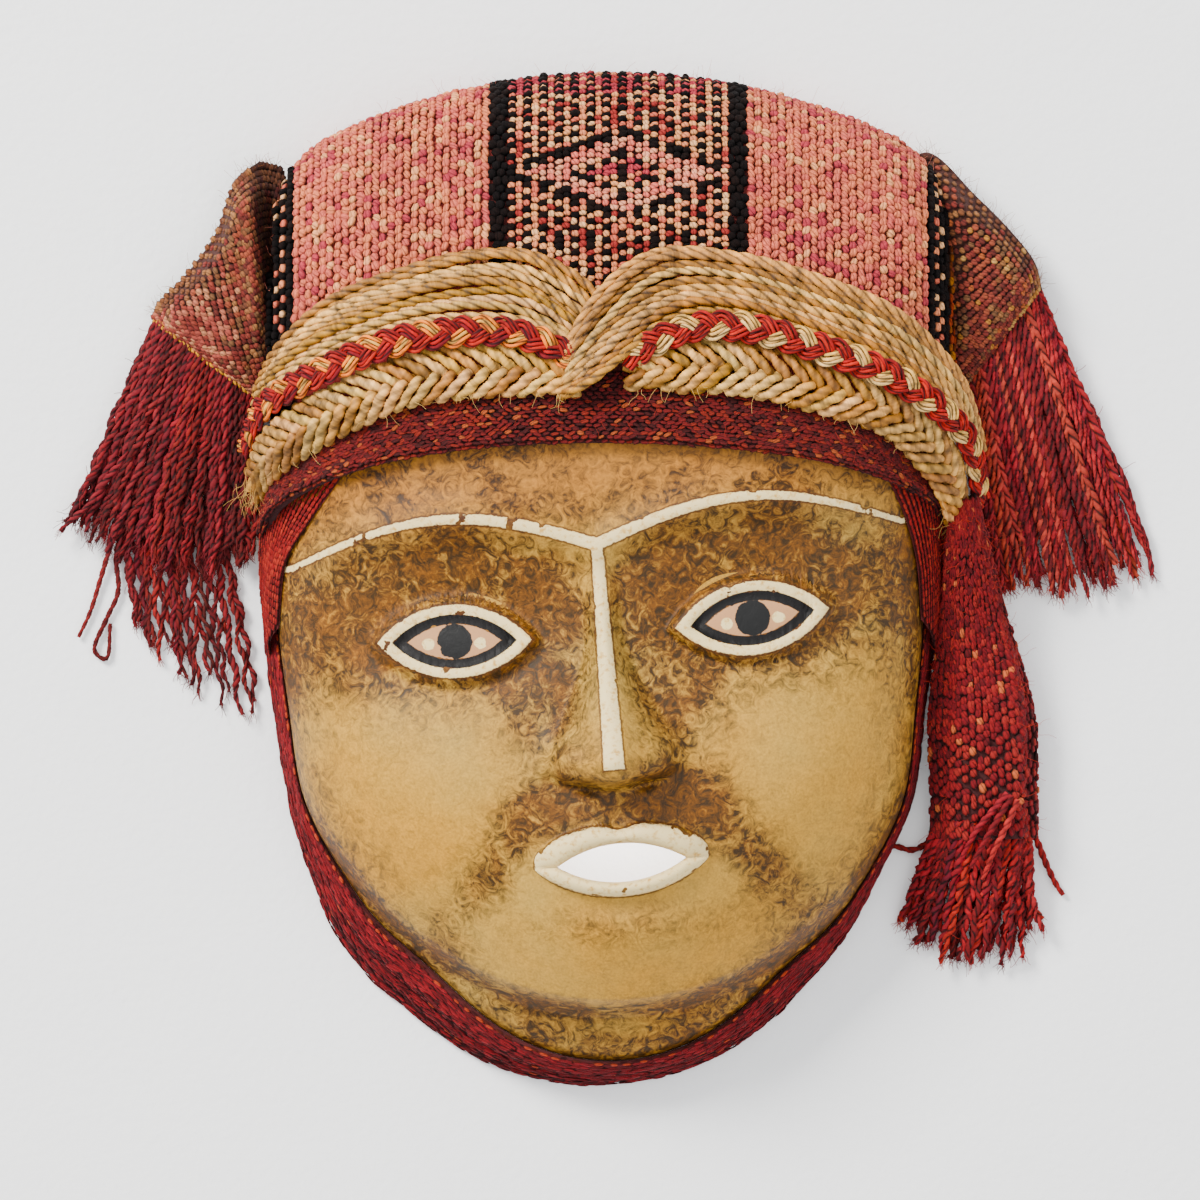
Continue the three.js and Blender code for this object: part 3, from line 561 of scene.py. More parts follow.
# The face, laid out in its own tilted frame: hairline to brow, to nose base, to chin in thirds
face = {
    "tilt": math.radians(4.5),
    "browY": 6,
    "browArch": 9,
    "browLength": 76,
    "eyeX": 36.9,
    "eyeY": -12.5,
    "eyeWidth": 41.5,
    "eyeHeight": 20.7,
    "eyeTurn": math.radians(3),
    "noseBaseY": -50,
    "noseWidth": 32.4,
    "noseRise": 17,
    "mouthY": -68.5,
    "mouthWidth": 44.1,
    "mouthHeight": 19,
    "openingWidth": 31.8,
    "openingHeight": 9.5,
    "openingDrop": 1.5,
    "chinY": -106,
    "jawHalfWidth": 84,
    "jawReach": 96,
    "throatDrop": 0.5,
    "throatWall": 5,
    "sectors": 330,  # of the mesh, round the mouth
    "rings": (110, 43, 17),  # over the face, over its flanks and round its edge
    "unpainted": 60.0,  # distance from the paint that the clay's hidden side is given
}


def toFace(x, y):
    dx = x - head["faceX"]
    c, s = math.cos(face["tilt"]), math.sin(face["tilt"])
    return dx * c + y * s, y * c - dx * s


def fromFace(u, v):
    c, s = math.cos(face["tilt"]), math.sin(face["tilt"])
    return head["faceX"] + u * c - v * s, u * s + v * c


def browLine(side):
    return face["browY"] + face["browArch"] * np.sin(np.pi * np.minimum(1, side / face["browLength"]))


# Distance to an almond's outline, less than 0 inside it
def almondDistance(p, q, width, height):
    radius, rise = arcOver(width, height)
    over = np.hypot(p, q + radius - rise) - radius
    under = np.hypot(p, q - radius + rise) - radius
    return np.maximum(over, under)


def eyePlace(u, v, side):
    turn = -side * face["eyeTurn"]
    du, dv = u - side * face["eyeX"], v - face["eyeY"]
    return du * math.cos(turn) - dv * math.sin(turn), du * math.sin(turn) + dv * math.cos(turn)


def eyeRelief(u, v):
    relief = np.zeros_like(u)
    for side in (-1, 1):
        p, q = eyePlace(u, v, side)
        outer = almondDistance(p, q, face["eyeWidth"], face["eyeHeight"])
        inner = almondDistance(p, q, face["eyeWidth"] * 0.74, face["eyeHeight"] * 0.62)
        pad = 4.2 * np.sqrt(1 - np.clip((outer + 2.4) / 3.0, 0, 1) ** 2)
        sunk = 1.9 * smoothstep(-inner, -0.5, 0.9)
        ball = 2.6 * np.sqrt(np.maximum(0, 1 - (p / 13.5) ** 2 - (q / 6.4) ** 2))
        relief = relief + pad - sunk * (outer < 0) + ball * (inner < 0)
    return relief


def noseRelief(u, v):
    span = face["browY"] - 2 - face["noseBaseY"]
    t = np.clip((face["browY"] - 2 - v) / span, 0, 1)
    wide = mix(5, face["noseWidth"] / 2, smoothstep(t, 0.3, 0.95))
    rise = face["noseRise"] * (0.06 + 0.94 * t**1.15) * (1 - 0.16 * smoothstep(t, 0.9, 1))
    share = np.clip(np.abs(u) / wide, 0, 1)
    ridge = rise * np.cos(share * np.pi / 2) ** 1.35
    wings = 4.2 * bell(np.abs(u), 12.4, 4.6) * bell(v, face["noseBaseY"] + 6.5, 6)
    tip = 1.6 * bell(u, 0, 7) * bell(v, face["noseBaseY"] + 7, 7)
    underside = smoothstep(v - face["noseBaseY"] - 3 * share**2, -2.4, 1.0)
    fadeIn = smoothstep(face["browY"] + 8 - v, 0, 8)
    nostril = 3.2 * bell(np.abs(u), 6.6, 3.0) * bell(v, face["noseBaseY"] - 0.4, 1.5)
    return (ridge * fadeIn + wings + tip) * underside - nostril


def lipEdges(u):
    half = face["mouthWidth"] / 2
    s = np.clip(np.abs(u) / half, 0, 1)
    bow = 1 - 0.16 * bell(s, 0, 0.16)
    upper = face["mouthHeight"] * (-0.06 + 0.5 * bow * np.sqrt(np.maximum(0, 1 - s**2.2)))
    lower = face["mouthHeight"] * (-0.06 - 0.47 * np.maximum(0, 1 - s**2) ** 0.8)
    return upper, lower


# Radius of the arc that crosses a width and rises halfway to a height, and that rise
def arcOver(width, height):
    half, rise = width / 2, height / 2
    return (half * half + rise * rise) / (2 * rise), rise


def openingArc():
    return arcOver(face["openingWidth"], face["openingHeight"])


def openingEdges(u):
    radius, rise = openingArc()
    half = face["openingWidth"] / 2
    reach = np.sqrt(np.maximum(0, radius**2 - np.minimum(np.abs(u), half) ** 2)) - radius + rise
    return reach - face["openingDrop"], -reach - face["openingDrop"]


# 0 at the opening's edge and 1 at the lips' outer edge
def lipShare(u, v):
    w = v - face["mouthY"]
    upper, lower = lipEdges(u)
    top, bottom = openingEdges(u)
    above = (w - top) / np.maximum(upper - top, 0.3)
    under = (bottom - w) / np.maximum(bottom - lower, 0.3)
    return np.maximum(above, under)


def lipRelief(u, v):
    share = lipShare(u, v)
    side = np.clip(np.abs(u) / (face["mouthWidth"] / 2), 0, 1)
    roll = np.sqrt(np.maximum(0, 1 - (2 * np.clip(share, 0, 1) - 1) ** 2))
    return 3.6 * roll**0.8 * (1 - side**6) * (side < 1)


# 1 on the jaw's lower edge, and more below it
def jawShare(u, v):
    return np.hypot(u / face["jawHalfWidth"], (v - face["chinY"] - face["jawReach"]) / face["jawReach"])


def faceHeight(x, y):
    u, v = toFace(x, y)
    side = np.abs(u)
    share = outlineShare(x, y, 0)
    fade = 1 - smoothstep(share, 0.72, 0.97)
    jaw = jawShare(u, v)
    throat = np.where(v < -40, smoothstep(jaw, 0.98, 1.04) * smoothstep(-v, 40, 70), 0)
    under = smoothstep(browLine(side) + 1 - v, -3, 7)
    sockets = -7.5 * bell(side, face["eyeX"] - 3, 27) * bell(v, face["eyeY"] + 3, 19) * under
    cheeks = 2.5 * bell(side, 44, 26) * bell(v, face["noseBaseY"], 24)
    muzzle = 4.5 * bell(u, 0, 30) * bell(v, face["mouthY"], 20)
    chin = 4 * bell(u, 0, 30) * bell(v, face["chinY"] + 14, 14)
    philtrum = -0.9 * bell(u, 0, 3.2) * bell(v, face["noseBaseY"] - 8, 5)
    crease = -1.0 * bell(u, 0, 16) * bell(v, face["chinY"] + 26, 3.5)
    brow = 2.8 * bell(v, browLine(side) + 2.4, 4.6) * bell(side, 34, 44)
    plain = sockets + cheeks + muzzle + chin + philtrum + crease + brow
    carved = eyeRelief(u, v) + noseRelief(u, v) + lipRelief(u, v)
    bulge = domeHeight(x, y, 0) - head["wallHeight"]
    relief = (plain + carved) * fade * (1 - throat)
    return head["wallHeight"] + bulge * (1 - face["throatDrop"] * throat) + relief


# Distance to the painted lips' outline, less than 0 inside
def lipDistance(x, y):
    u, v = toFace(x, y)
    return np.maximum((lipShare(u, v) - 0.94) * 4, np.abs(u) - face["mouthWidth"] / 2 + 0.6)


# How much the clay is darkened: its brown stain, heavier in the sockets, beside the nose, in the folds and
# over the forehead, and painted shade under the nose, in the crease under the lips, along the jaw's lower
# edge and towards the outline
def stainAndShade(x, y):
    u, v = toFace(x, y)
    side = np.abs(u)
    sockets = 1.45 * bell(side, 40, 38) * bell(v, face["eyeY"] + 7, 21)
    bridge = 0.8 * bell(side, 16, 11) * bell(v, -24, 22)
    # painted shade under the nose
    under = 0.85 * bell(side, 6, 18) * bell(v, face["noseBaseY"] - 6, 8)
    folds = 0.7 * bell(side - 0.75 * (-50 - v), 17, 9) * bell(v, -68, 20)
    # painted shade in the crease under the lips
    chin = 0.35 * bell(v, -86, 6) * bell(side, 0, 30)
    corners = bell(u, -28, 30) + bell(u, 56, 18)
    forehead = smoothstep(v, 8, 22) * (0.34 + 0.4 * bell(v, 40, 14) * corners)
    jaw = jawShare(u, v)
    # painted shade along the jaw's lower edge
    throat = (v < -40) * (0.22 * smoothstep(jaw, 0.97, 1.03) + 0.45 * bell(jaw, 1.015, 0.025))
    # painted shade towards the clay's outline
    rim = 0.4 * smoothstep(outlineShare(x, y, 0), 0.82, 1.0)
    return np.clip(0.08 + sockets + bridge + under + folds + chin + forehead + throat + rim, 0, 1)


def clayMask():
    sectors = face["sectors"]
    turn = np.arange(sectors) / sectors * 2 * np.pi
    angle = turn + 0.4 * np.cos(turn)  # more of them point up, to the eyes
    centreX, centreY = fromFace(0.0, face["mouthY"] - face["openingDrop"])
    c, s = np.cos(angle), np.sin(angle)
    tilted = angle - face["tilt"]
    radius, rise = openingArc()
    lift = radius - rise
    q = np.abs(np.sin(tilted))
    opening = -lift * q + np.sqrt(radius**2 - (lift * np.cos(tilted)) ** 2)

    def outlineFrom(grow):
        inner, outer = np.zeros(sectors), np.full(sectors, 260.0)
        for _ in range(40):
            middle = (inner + outer) / 2
            inside = outlineShare(centreX + middle * c, centreY + middle * s, grow) < 1
            inner, outer = np.where(inside, middle, inner), np.where(inside, outer, middle)
        return inner

    rings = []
    reach = outlineFrom(0)
    nearRings, farRings, edgeRings = face["rings"]
    near = np.linspace(0, 0.58, nearRings)
    far = np.linspace(0.58, 0.93, farRings + 1)[1:]
    edge = 1 - 0.07 * (1 - np.linspace(0, 1, edgeRings + 1)[1:]) ** 2
    for share in np.concatenate([near, far, edge]):
        r = mix(opening, reach, share)
        x, y = centreX + r * c, centreY + r * s
        rings.append(np.stack([x, y, faceHeight(x, y)], -1))
    x, y = centreX + reach * c, centreY + reach * s
    for z in (8, 4, 1, 0):
        rings.append(np.stack([x, y, np.full_like(x, z)], -1))
    inset = outlineFrom(-head["wall"])
    xi, yi = centreX + inset * c, centreY + inset * s
    for z in (0, 4, head["wallHeight"]):
        rings.append(np.stack([xi, yi, np.full_like(x, float(z))], -1))
    for share in 1 - np.linspace(0, 1, 14)[1:] ** 1.6:
        r = mix(opening + 0.6, inset, share)
        x, y = centreX + r * c, centreY + r * s
        ceiling = np.where(y > -40, 99, faceHeight(x, y) - face["throatWall"])
        ceiling = np.minimum(ceiling, domeHeight(x, y, -head["wall"]))
        rings.append(np.stack([x, y, np.maximum(ceiling, head["wallHeight"])], -1))
    for share in (0.3, 0.6, 0.85):
        first, last = rings[0], rings[-1]
        rings.append(mix(last, first, share))
    points = np.concatenate(rings)
    count = len(rings)
    faces = gridFaces(count + 1, sectors, wrap=True) % (count * sectors)
    outside = np.arange(len(points)) < sum(face["rings"]) * sectors
    attributes = {
        "unpainted": np.where(outside, 0, face["unpainted"]),
        "lipEdge": np.where(outside, lipDistance(points[:, 0], points[:, 1]), face["unpainted"]),
        "stainAndShade": np.where(outside, stainAndShade(points[:, 0], points[:, 1]), 0.15),
    }
    return makeObject("clay_mask", points, faces[:, ::-1], attributes=attributes)


# Cords: each line is its points, its thickness share along it, its dye, its first twist and its hand
def cordObject(name, lines, material, **values):
    def perPoint(label, usual):
        spread = [np.broadcast_to(line.get(label, usual), len(line["points"])) for line in lines]
        return np.concatenate(spread)

    points = np.concatenate([line["points"] for line in lines])
    dyes = np.concatenate([np.tile(rgba(line["dye"]), (len(line["points"]), 1)) for line in lines])
    edges, start = [], 0
    for line in lines:
        count = len(line["points"])
        edges += [(start + i, start + i + 1) for i in range(count - 1)]
        start += count
    attributes = {
        "cordSize": perPoint("size", 1.0),
        "phase": perPoint("phase", 0.0),
        "hand": perPoint("hand", 1.0),
        "yarnColor": dyes,
    }
    source = makeObject(name + "_lines", points, edges=edges, attributes=attributes)
    return growMesh(source, cordMaker, name, {**values, "Material": material})


def vary(color, rng, spread):
    return np.clip(np.asarray(color) * (1 + rng.normal(0, spread)) + rng.normal(0, spread * 0.25, 3), 0, 1)


# Loose hairs that stand off a yarn: each starts at a root, leaves it one way and curls
def looseHairs(rng, roots, ways, dyes, reach, curl):
    t = np.linspace(0, 1, 7)[:, None]
    lowest = 0.15  # over the floor
    lines = []
    for root, way, dye in zip(roots, ways, dyes):
        length = rng.uniform(*reach)
        bend, kink = unit(rng.normal(0, 1, (2, 3)))
        points = root + length * (way * t + curl * bend * t**2 + 0.12 * kink * np.sin(2 * np.pi * t))
        points[:, 2] = np.maximum(points[:, 2], lowest)
        lines.append({"points": points, "size": np.linspace(1, 0.6, 7), "dye": dye})
    return lines


hairCord = {"Pitch": 1.0, "Plies": 1, "Points": 3, "Step": 0.0009, "Unevenness": 0.0}


def hairObject(name, lines, material, thickness=0.00013):
    return cordObject(name, lines, material, Thickness=thickness, **hairCord)


# The rope band: its pieces lie this far off the clay
band = {
    "base": 4.9,
    "beside": 2.8,  # from the seam to a bundle's or a plait's edge
    "over": 3.4,  # how much higher the right bundle lies where it crosses the left
    "ropes": 9,
    "ropeThickness": 2.5,
    "ropeCord": {"Pitch": 0.009, "Waist": 0.56, "Plies": 2, "Points": 12, "Step": 0.0008},
    "plaitYarn": 2.85,
    "plaitCord": {"Pitch": 0.0085, "Waist": 0.64, "Plies": 2, "Points": 10, "Step": 0.0009},
    "plaitSpacing": 4.2,  # from one strand to the next in a half of the herringbone
    "plaitReach": 10.4,  # how far along the plait a strand runs from its edge to the middle
    "edgeHairs": 34,  # of a plait, at its lower edge and at its cut end
    "endHairs": 46,
    "paleStraw": (0.84, 0.70, 0.48),
    "endStraw": (0.80, 0.64, 0.42),
    "braidYarn": 1.15,
    "braidCord": {"Pitch": 0.011, "Plies": 2, "Points": 8, "Step": 0.0008},
    "braidPeriod": 14.6,
    "braidWidth": 8.8,
    "straws": [
        (0.79, 0.60, 0.38),
        (0.70, 0.50, 0.30),
        (0.85, 0.68, 0.45),
        (0.62, 0.43, 0.24),
        (0.81, 0.64, 0.42),
    ],
    "reds": [(0.56, 0.12, 0.11), (0.46, 0.09, 0.09), (0.62, 0.16, 0.13), (0.70, 0.22, 0.15)],
    "creams": [(0.91, 0.74, 0.49), (0.88, 0.66, 0.40), (0.94, 0.79, 0.56), (0.84, 0.50, 0.27)],
}
# Edges of the band's pieces: y, z and lift on the side wall, then x, y and lift over the front. The
# seam lies between bundle and plait, the top is a bundle's outer edge, and the foot a plait's
bandEdges = {
    -1: {
        "seam": {
            "wall": [[32, 14, -0.9], [42.5, 27, -0.4]],
            "front": [
                *[[-70, 52, 0], [-52, 58.8, 0], [-34, 61, 0]],
                *[[-24, 60.5, 0], [-16, 57.8, 0], [-8, 53.5, -1]],
            ],
        },
        "top": {
            "wall": [[49, 14, -0.9], [58, 27, -0.4]],
            "front": [
                *[[-70, 69, 0], [-52, 76.5, 0], [-34, 81.8, 0], [-21, 81.8, 0]],
                *[[-11, 76.8, 0], [-3, 70, 0], [4, 63, -2]],
            ],
        },
        "foot": {
            "wall": [[17.5, 14, 0.2], [23, 27, 0.2]],
            "front": [
                *[[-67, 32.5, 0], [-50, 40.5, 0], [-33, 43.2, 0]],
                *[[-22, 44.5, 0], [-14, 45.5, 0], [-6, 46.5, -1]],
            ],
        },
    },
    1: {
        "seam": {
            "wall": [[21, 14, 4], [37, 27, 3]],
            "front": [[70, 49.5, 1], [52, 56.5, 0], [34, 61.7, 0], [21, 62, 0], [11, 58.5, 0], [3, 53.5, -1]],
        },
        "top": {
            "wall": [[36, 14, 5], [52, 27, 3]],
            "front": [
                *[[70, 67, 1], [52, 75, 0], [33, 80.5, 0], [13.5, 82, 0.5], [5, 78.5, 2]],
                *[[-3.5, 70.5, band["over"]], [-9, 61.5, band["over"]], [-12, 53, 2], [-12.2, 46.5, -3]],
            ],
        },
        "foot": {
            "wall": [[11, 17, 1], [23, 28, 1]],
            "front": [[68, 35, 0], [52, 40, 0], [34, 43, 0], [21, 44.8, 0], [10, 47, 0], [2, 49.5, -1]],
        },
        # the right bundle's lower edge where it leaves the seam and crosses over the left bundle
        "tuck": [
            *[[11, 60.4, band["over"] * 0.6], [3, 53.6, band["over"]], [-4, 48.6, band["over"]]],
            *[[-9, 46.2, 1], [-12.6, 44.6, -3]],
        ],
    },
}


def bandEdge(side, label, across=0, lift=band["base"]):
    run = bandEdges[side][label]
    wall = [onSide(side, y + across, z, lift + more) for y, z, more in run["wall"]]
    return wall + frontRun(lift, [[x, y + across, more] for x, y, more in run["front"]])


def bundleEdges(side):
    upper, lower = bandEdge(side, "top"), bandEdge(side, "seam", band["beside"])
    if side > 0:
        lower = lower[:-2] + frontRun(band["base"], bandEdges[side]["tuck"])
    return upper, lower


def ropeBundle(side, rope, hair):
    rng = np.random.default_rng(11 + side)
    upper, lower = bundleEdges(side)
    t = np.linspace(0, 1, 90)
    lines, roots, ways, dyes = [], [], [], []
    for i in range(band["ropes"]):
        w = (i + 0.5) / band["ropes"]
        sway = 0.24 / band["ropes"] * np.sin(t * rng.uniform(6, 12) + rng.uniform(0, 6))
        points, normals = between(upper, lower, t, np.clip(w + sway, 0, 1))
        crowded = smoothstep(t, 0.72, 0.98) * (1.1 if side > 0 else 0)
        sag = 1.5 * (1 - w) ** 2 * np.sin(np.pi * t)
        lift = band["ropeThickness"] / 2 - sag + 0.45 * np.sin(t * 9 + i * 2.4)
        lift = lift + crowded * (w - 0.35) * 2 + 0.35 * (i % 2)
        points = points + normals * lift[:, None]
        dye = vary(band["straws"][rng.integers(5)], rng, 0.04)
        phase = rng.uniform(0, 6)
        lines.append({"points": points, "size": rng.uniform(0.95, 1.06), "phase": phase, "dye": dye})
        picked = rng.integers(0, 85, 7)
        roots.append(points[picked] + normals[picked] * 0.8)
        leaving = np.gradient(points, axis=0)[picked] + normals[picked] * 0.5
        ways.append(unit(leaving + rng.normal(0, 0.1, (7, 3))))
        dyes += [dye] * 7
    name = "ropes_" + sideNames[side]
    ropes = cordObject(name, lines, rope, Thickness=band["ropeThickness"] * mm, **band["ropeCord"])
    hairs = looseHairs(rng, np.concatenate(roots), np.concatenate(ways), dyes, reach=(2, 5), curl=0.3)
    return joinObjects(name, [ropes, hairObject("rope_hairs", hairs, hair)])


# Strands of a flat plait about a centre line: side to side, and over and under each other
def plaitLines(points, normals, halfWidth, yarn, yarns, period, dyes, rng, hand):
    s = arcLength(points)
    strands = 3
    along = unit(np.gradient(points, axis=0))
    across = unit(np.cross(normals, along))
    lines = []
    for k in range(strands):
        turn = 2 * np.pi * (s / period + k / strands)
        swing = np.arcsin(0.9 * np.sin(turn)) / math.asin(0.9)
        side = np.maximum(halfWidth - yarn * yarns * 0.56, yarn * 0.5) * swing
        crossing = np.sin(2 * turn) * hand
        height = 0.66 * yarn * np.sign(crossing) * np.abs(crossing) ** 0.7
        middle = points + across * side[:, None] + normals * height[:, None]
        heading = unit(np.gradient(middle, axis=0))
        beside = unit(np.cross(normals, heading))
        for j in range(yarns):
            off = (j - (yarns - 1) / 2) * yarn * 0.95
            crown = -0.10 * yarn * (j - (yarns - 1) / 2) ** 2
            line = {"points": middle + beside * off + normals * crown}
            line["size"] = rng.uniform(0.93, 1.08)
            line["phase"] = rng.uniform(0, 6)
            line["dye"] = vary(dyes[k][rng.integers(len(dyes[k]))], rng, 0.05)
            lines.append(line)
    return lines


# Herringbone: short strands that come round each edge, run to the middle and dive under the other half's
def herringbone(points, normals, halfWidth, rng, way):
    s = arcLength(points)
    across = unit(np.cross(normals, np.gradient(points, axis=0)))
    yarn, reach, spacing = band["plaitYarn"], band["plaitReach"], band["plaitSpacing"]
    u = np.linspace(0, 1, 12)
    lines = []
    for half in (-1, 1):
        for begins in np.arange(-reach, s[-1] + reach, spacing) + (spacing / 2 if half > 0 else 0):
            at = begins + way * reach * u + rng.normal(0, 0.2)
            kept = (at > 0) & (at < s[-1])
            if kept.sum() < 5:
                continue
            at, share = at[kept], u[kept]
            middle, normal, beside = (readAlong(at, s, table) for table in (points, normals, across))
            inward = 1.12 - 1.24 * share**1.15 - 0.4 * (1 - share) ** 12
            off = half * np.interp(at, s, halfWidth) * inward
            arched = 0.05 - 0.75 * (1 - share) ** 6 + 0.34 * smoothstep(share, 0.2, 0.75)
            lift = yarn * (arched - 1.2 * smoothstep(share, 0.82, 1.05))
            line = {"points": middle + beside * off[:, None] + normal * lift[:, None]}
            line["size"] = rng.uniform(0.92, 1.08) * (1 - 0.25 * (1 - share) ** 4)
            line["phase"] = rng.uniform(0, 6)
            line["dye"] = vary(band["straws"][rng.integers(5)], rng, 0.04)
            lines.append(line)
    return lines


def flatPlait(side, rope, hair):
    rng = np.random.default_rng(31 + side)
    yarn, edgeHairs, endHairs = band["plaitYarn"], band["edgeHairs"], band["endHairs"]
    upper, lower = bandEdge(side, "seam", 0.8 - band["beside"]), bandEdge(side, "foot")
    t = np.linspace(0, 1, 260)
    top, normals = runAt(upper, t)
    bottom, _ = runAt(lower, t)
    normals = unit(normals + np.array([0, 0, 0.5]))
    points = (top + bottom) / 2 + normals * yarn / 2
    halfWidth = np.clip(np.linalg.norm(top - bottom, axis=1) / 2, 4.4, 6.8)
    halfWidth = halfWidth * mix(0.8, 0.96, smoothstep(t, 0, 0.2))  # narrower where it comes out from the side
    lines = herringbone(points, normals, halfWidth, rng, -side)
    picked = rng.integers(20, 240, edgeHairs)
    outward = unit(bottom - top)[picked]
    ways = unit(outward + rng.normal(0, 0.35, (edgeHairs, 3)) + normals[picked] * 0.4)
    spots = points[picked] + outward * 5
    hairs = looseHairs(rng, spots, ways, [band["paleStraw"]] * edgeHairs, (2, 5), 0.5)
    ends = points[:12][rng.integers(0, 12, endHairs)] + rng.normal(0, 1.6, (endHairs, 3))
    ways = unit(np.array([0.1 * side, -1.0, -0.1]) + rng.normal(0, 0.3, (endHairs, 3)))
    hairs += looseHairs(rng, ends, ways, [band["endStraw"]] * endHairs, (4, 9), 0.3)
    name = "plait_weave_" + sideNames[side]
    weave = cordObject(name, lines, rope, Thickness=yarn * mm, **band["plaitCord"])
    return joinObjects(name, [weave, hairObject("plait_hairs", hairs, hair)])


def twoToneBraid(side, wool):
    rng = np.random.default_rng(51 + side)
    yarn = band["braidYarn"]
    raised = band["base"] + 0.75 * 3.4 + 0.4 + 0.66 * yarn + yarn / 2  # on top of the ropes beside it
    places = bandEdge(side, "seam", 0, raised)
    t = np.linspace(0, 1, 280)
    points, normals = runAt(places, t)
    normals = unit(normals + np.array([0, 0, 0.5]))
    halfWidth = band["braidWidth"] / 2 * (0.85 + 0.15 * np.sin(np.pi * t))
    dyes = [band["reds"], band["creams"], band["reds"]]
    lines = plaitLines(points, normals, halfWidth, yarn, 3, band["braidPeriod"], dyes, rng, side)
    name = "two_tone_braid_" + sideNames[side]
    return cordObject(name, lines, wool, Thickness=yarn * 1.12 * mm, **band["braidCord"])


# Stitches on a cloth: where they are, which way they run, their size in shares, and their dye
def stitchObject(name, points, axes, normals, sizes, dyes, material, grain):
    attributes = {"grainAxis": axes, "grainNormal": normals, "grainSize": sizes, "yarnColor": dyes}
    source = makeObject(name + "_spots", points, attributes=attributes)
    print(name, len(points), "stitches")
    return growMesh(source, stitchMaker, name, {**grain, "Material": material})


# A grain's usual length, width and thickness, how much they differ, how much it leans, and a seed
def grainOf(length, width, thickness, uneven, twist, seed):
    sizes = {"Length": length * mm, "Width": width * mm, "Thickness": thickness * mm}
    return {**sizes, "Unevenness": uneven, "Twist": twist, "Seed": seed}


def dyeTable(colors):
    return np.array([rgba(c) for c in colors], float)


def pickDyes(rng, colors, count, chances=None):
    return dyeTable(colors)[rng.choice(len(colors), count, p=chances)]


def paintOver(dyes, chosen, paint):
    return np.where(chosen[:, None], paint, dyes)


# The woven cloth over the crown
crown = {
    "lift": 1.3,  # of the sheet's middle off the clay
    "sheetThickness": 0.9,
    "hemMiddle": 51,
    "hemDrop": 26,
    "stitchLift": 2.8,
    "stitchThickness": 1.75,
    "fieldWidth": 1.95,  # from column to column
    "fieldRow": 2.05,
    "stripeRow": 1.9,
    "lowestStitch": 1.9,  # height of the last row on the side wall
    "motifX": 2.7,  # middle of the diamond
    "motifY": 100.3,
    "motifWidth": 1.96,
    "motifRow": 1.6,
    "motifColumns": 14,  # to each side
    "motifHalf": (24.0, 10.6),  # outer edge of the pink diamond, across and up
    "heartHalf": (12.0, 6.2),
    "blackColumns": [-29.0, -27.0, 30.1, 32.3],
    "outerStripes": {-1: (-78.6, 1.9), 1: (79.3, 1.3)},  # where each begins, and its columns' width in plan
    "grain": (1, 1, 1, 0.2, 0.25, 3),  # sizes, unevenness, lean and seed, as grainOf takes them
    "rose": (0.76, 0.36, 0.36),
    "salmon": (0.88, 0.53, 0.41),
    "pale": (0.94, 0.66, 0.50),
    "magenta": (0.66, 0.27, 0.30),
    "pinks": [(0.91, 0.57, 0.49), (0.87, 0.48, 0.43), (0.94, 0.66, 0.55)],
    "peaches": [
        (0.90, 0.58, 0.45),
        (0.96, 0.75, 0.58),
        (0.82, 0.45, 0.38),
        (0.93, 0.66, 0.49),
        (0.60, 0.24, 0.23),
    ],
    "blacks": [(0.06, 0.025, 0.015), (0.085, 0.04, 0.03), (0.04, 0.015, 0.01)],
    "browns": [(0.52, 0.30, 0.16), (0.62, 0.40, 0.20), (0.56, 0.24, 0.16), (0.40, 0.20, 0.12)],
}


def hemY(x):
    return crown["hemMiddle"] - crown["hemDrop"] * (np.minimum(np.abs(x), 95) / 88) ** 3


def crownSheet():
    grow = crown["lift"]
    angle = np.radians(np.linspace(17, 163, 130))
    low, high = np.zeros_like(angle), np.ones_like(angle)
    for _ in range(30):
        middle = (low + high) / 2
        x, y = outlinePoint(angle, middle, grow)
        under = y < hemY(x)
        low, high = np.where(under, middle, low), np.where(under, high, middle)
    rings = []
    for q in np.linspace(0, 1, 40):
        share = mix(low, 1, 1 - (1 - q) ** 2)
        x, y = outlinePoint(angle, share, grow)
        rings.append(np.stack([x, y, domeHeight(x, y, grow)], -1))
    for z in (8, 4, 1):
        rings.append(np.stack([x, y, np.full_like(x, float(z))], -1))
    points = np.concatenate(rings)
    # The sheet's dyes are darker than the yarns over them: painted shade for the gaps between the stitches
    dye = np.tile(rgba((0.66, 0.28, 0.26)), (len(points), 1))
    dye = paintOver(dye, np.abs(points[:, 0] - 1.8) < 32, rgba((0.34, 0.13, 0.12)))  # under the motif
    outer = np.abs(points[:, 0] - 0.5) > 78.5
    dye = paintOver(dye, outer, rgba((0.12, 0.06, 0.05)))  # under the outer stripes
    return makeObject("crown_sheet", points, gridFaces(len(rings), len(angle)), attributes={"yarnColor": dye})


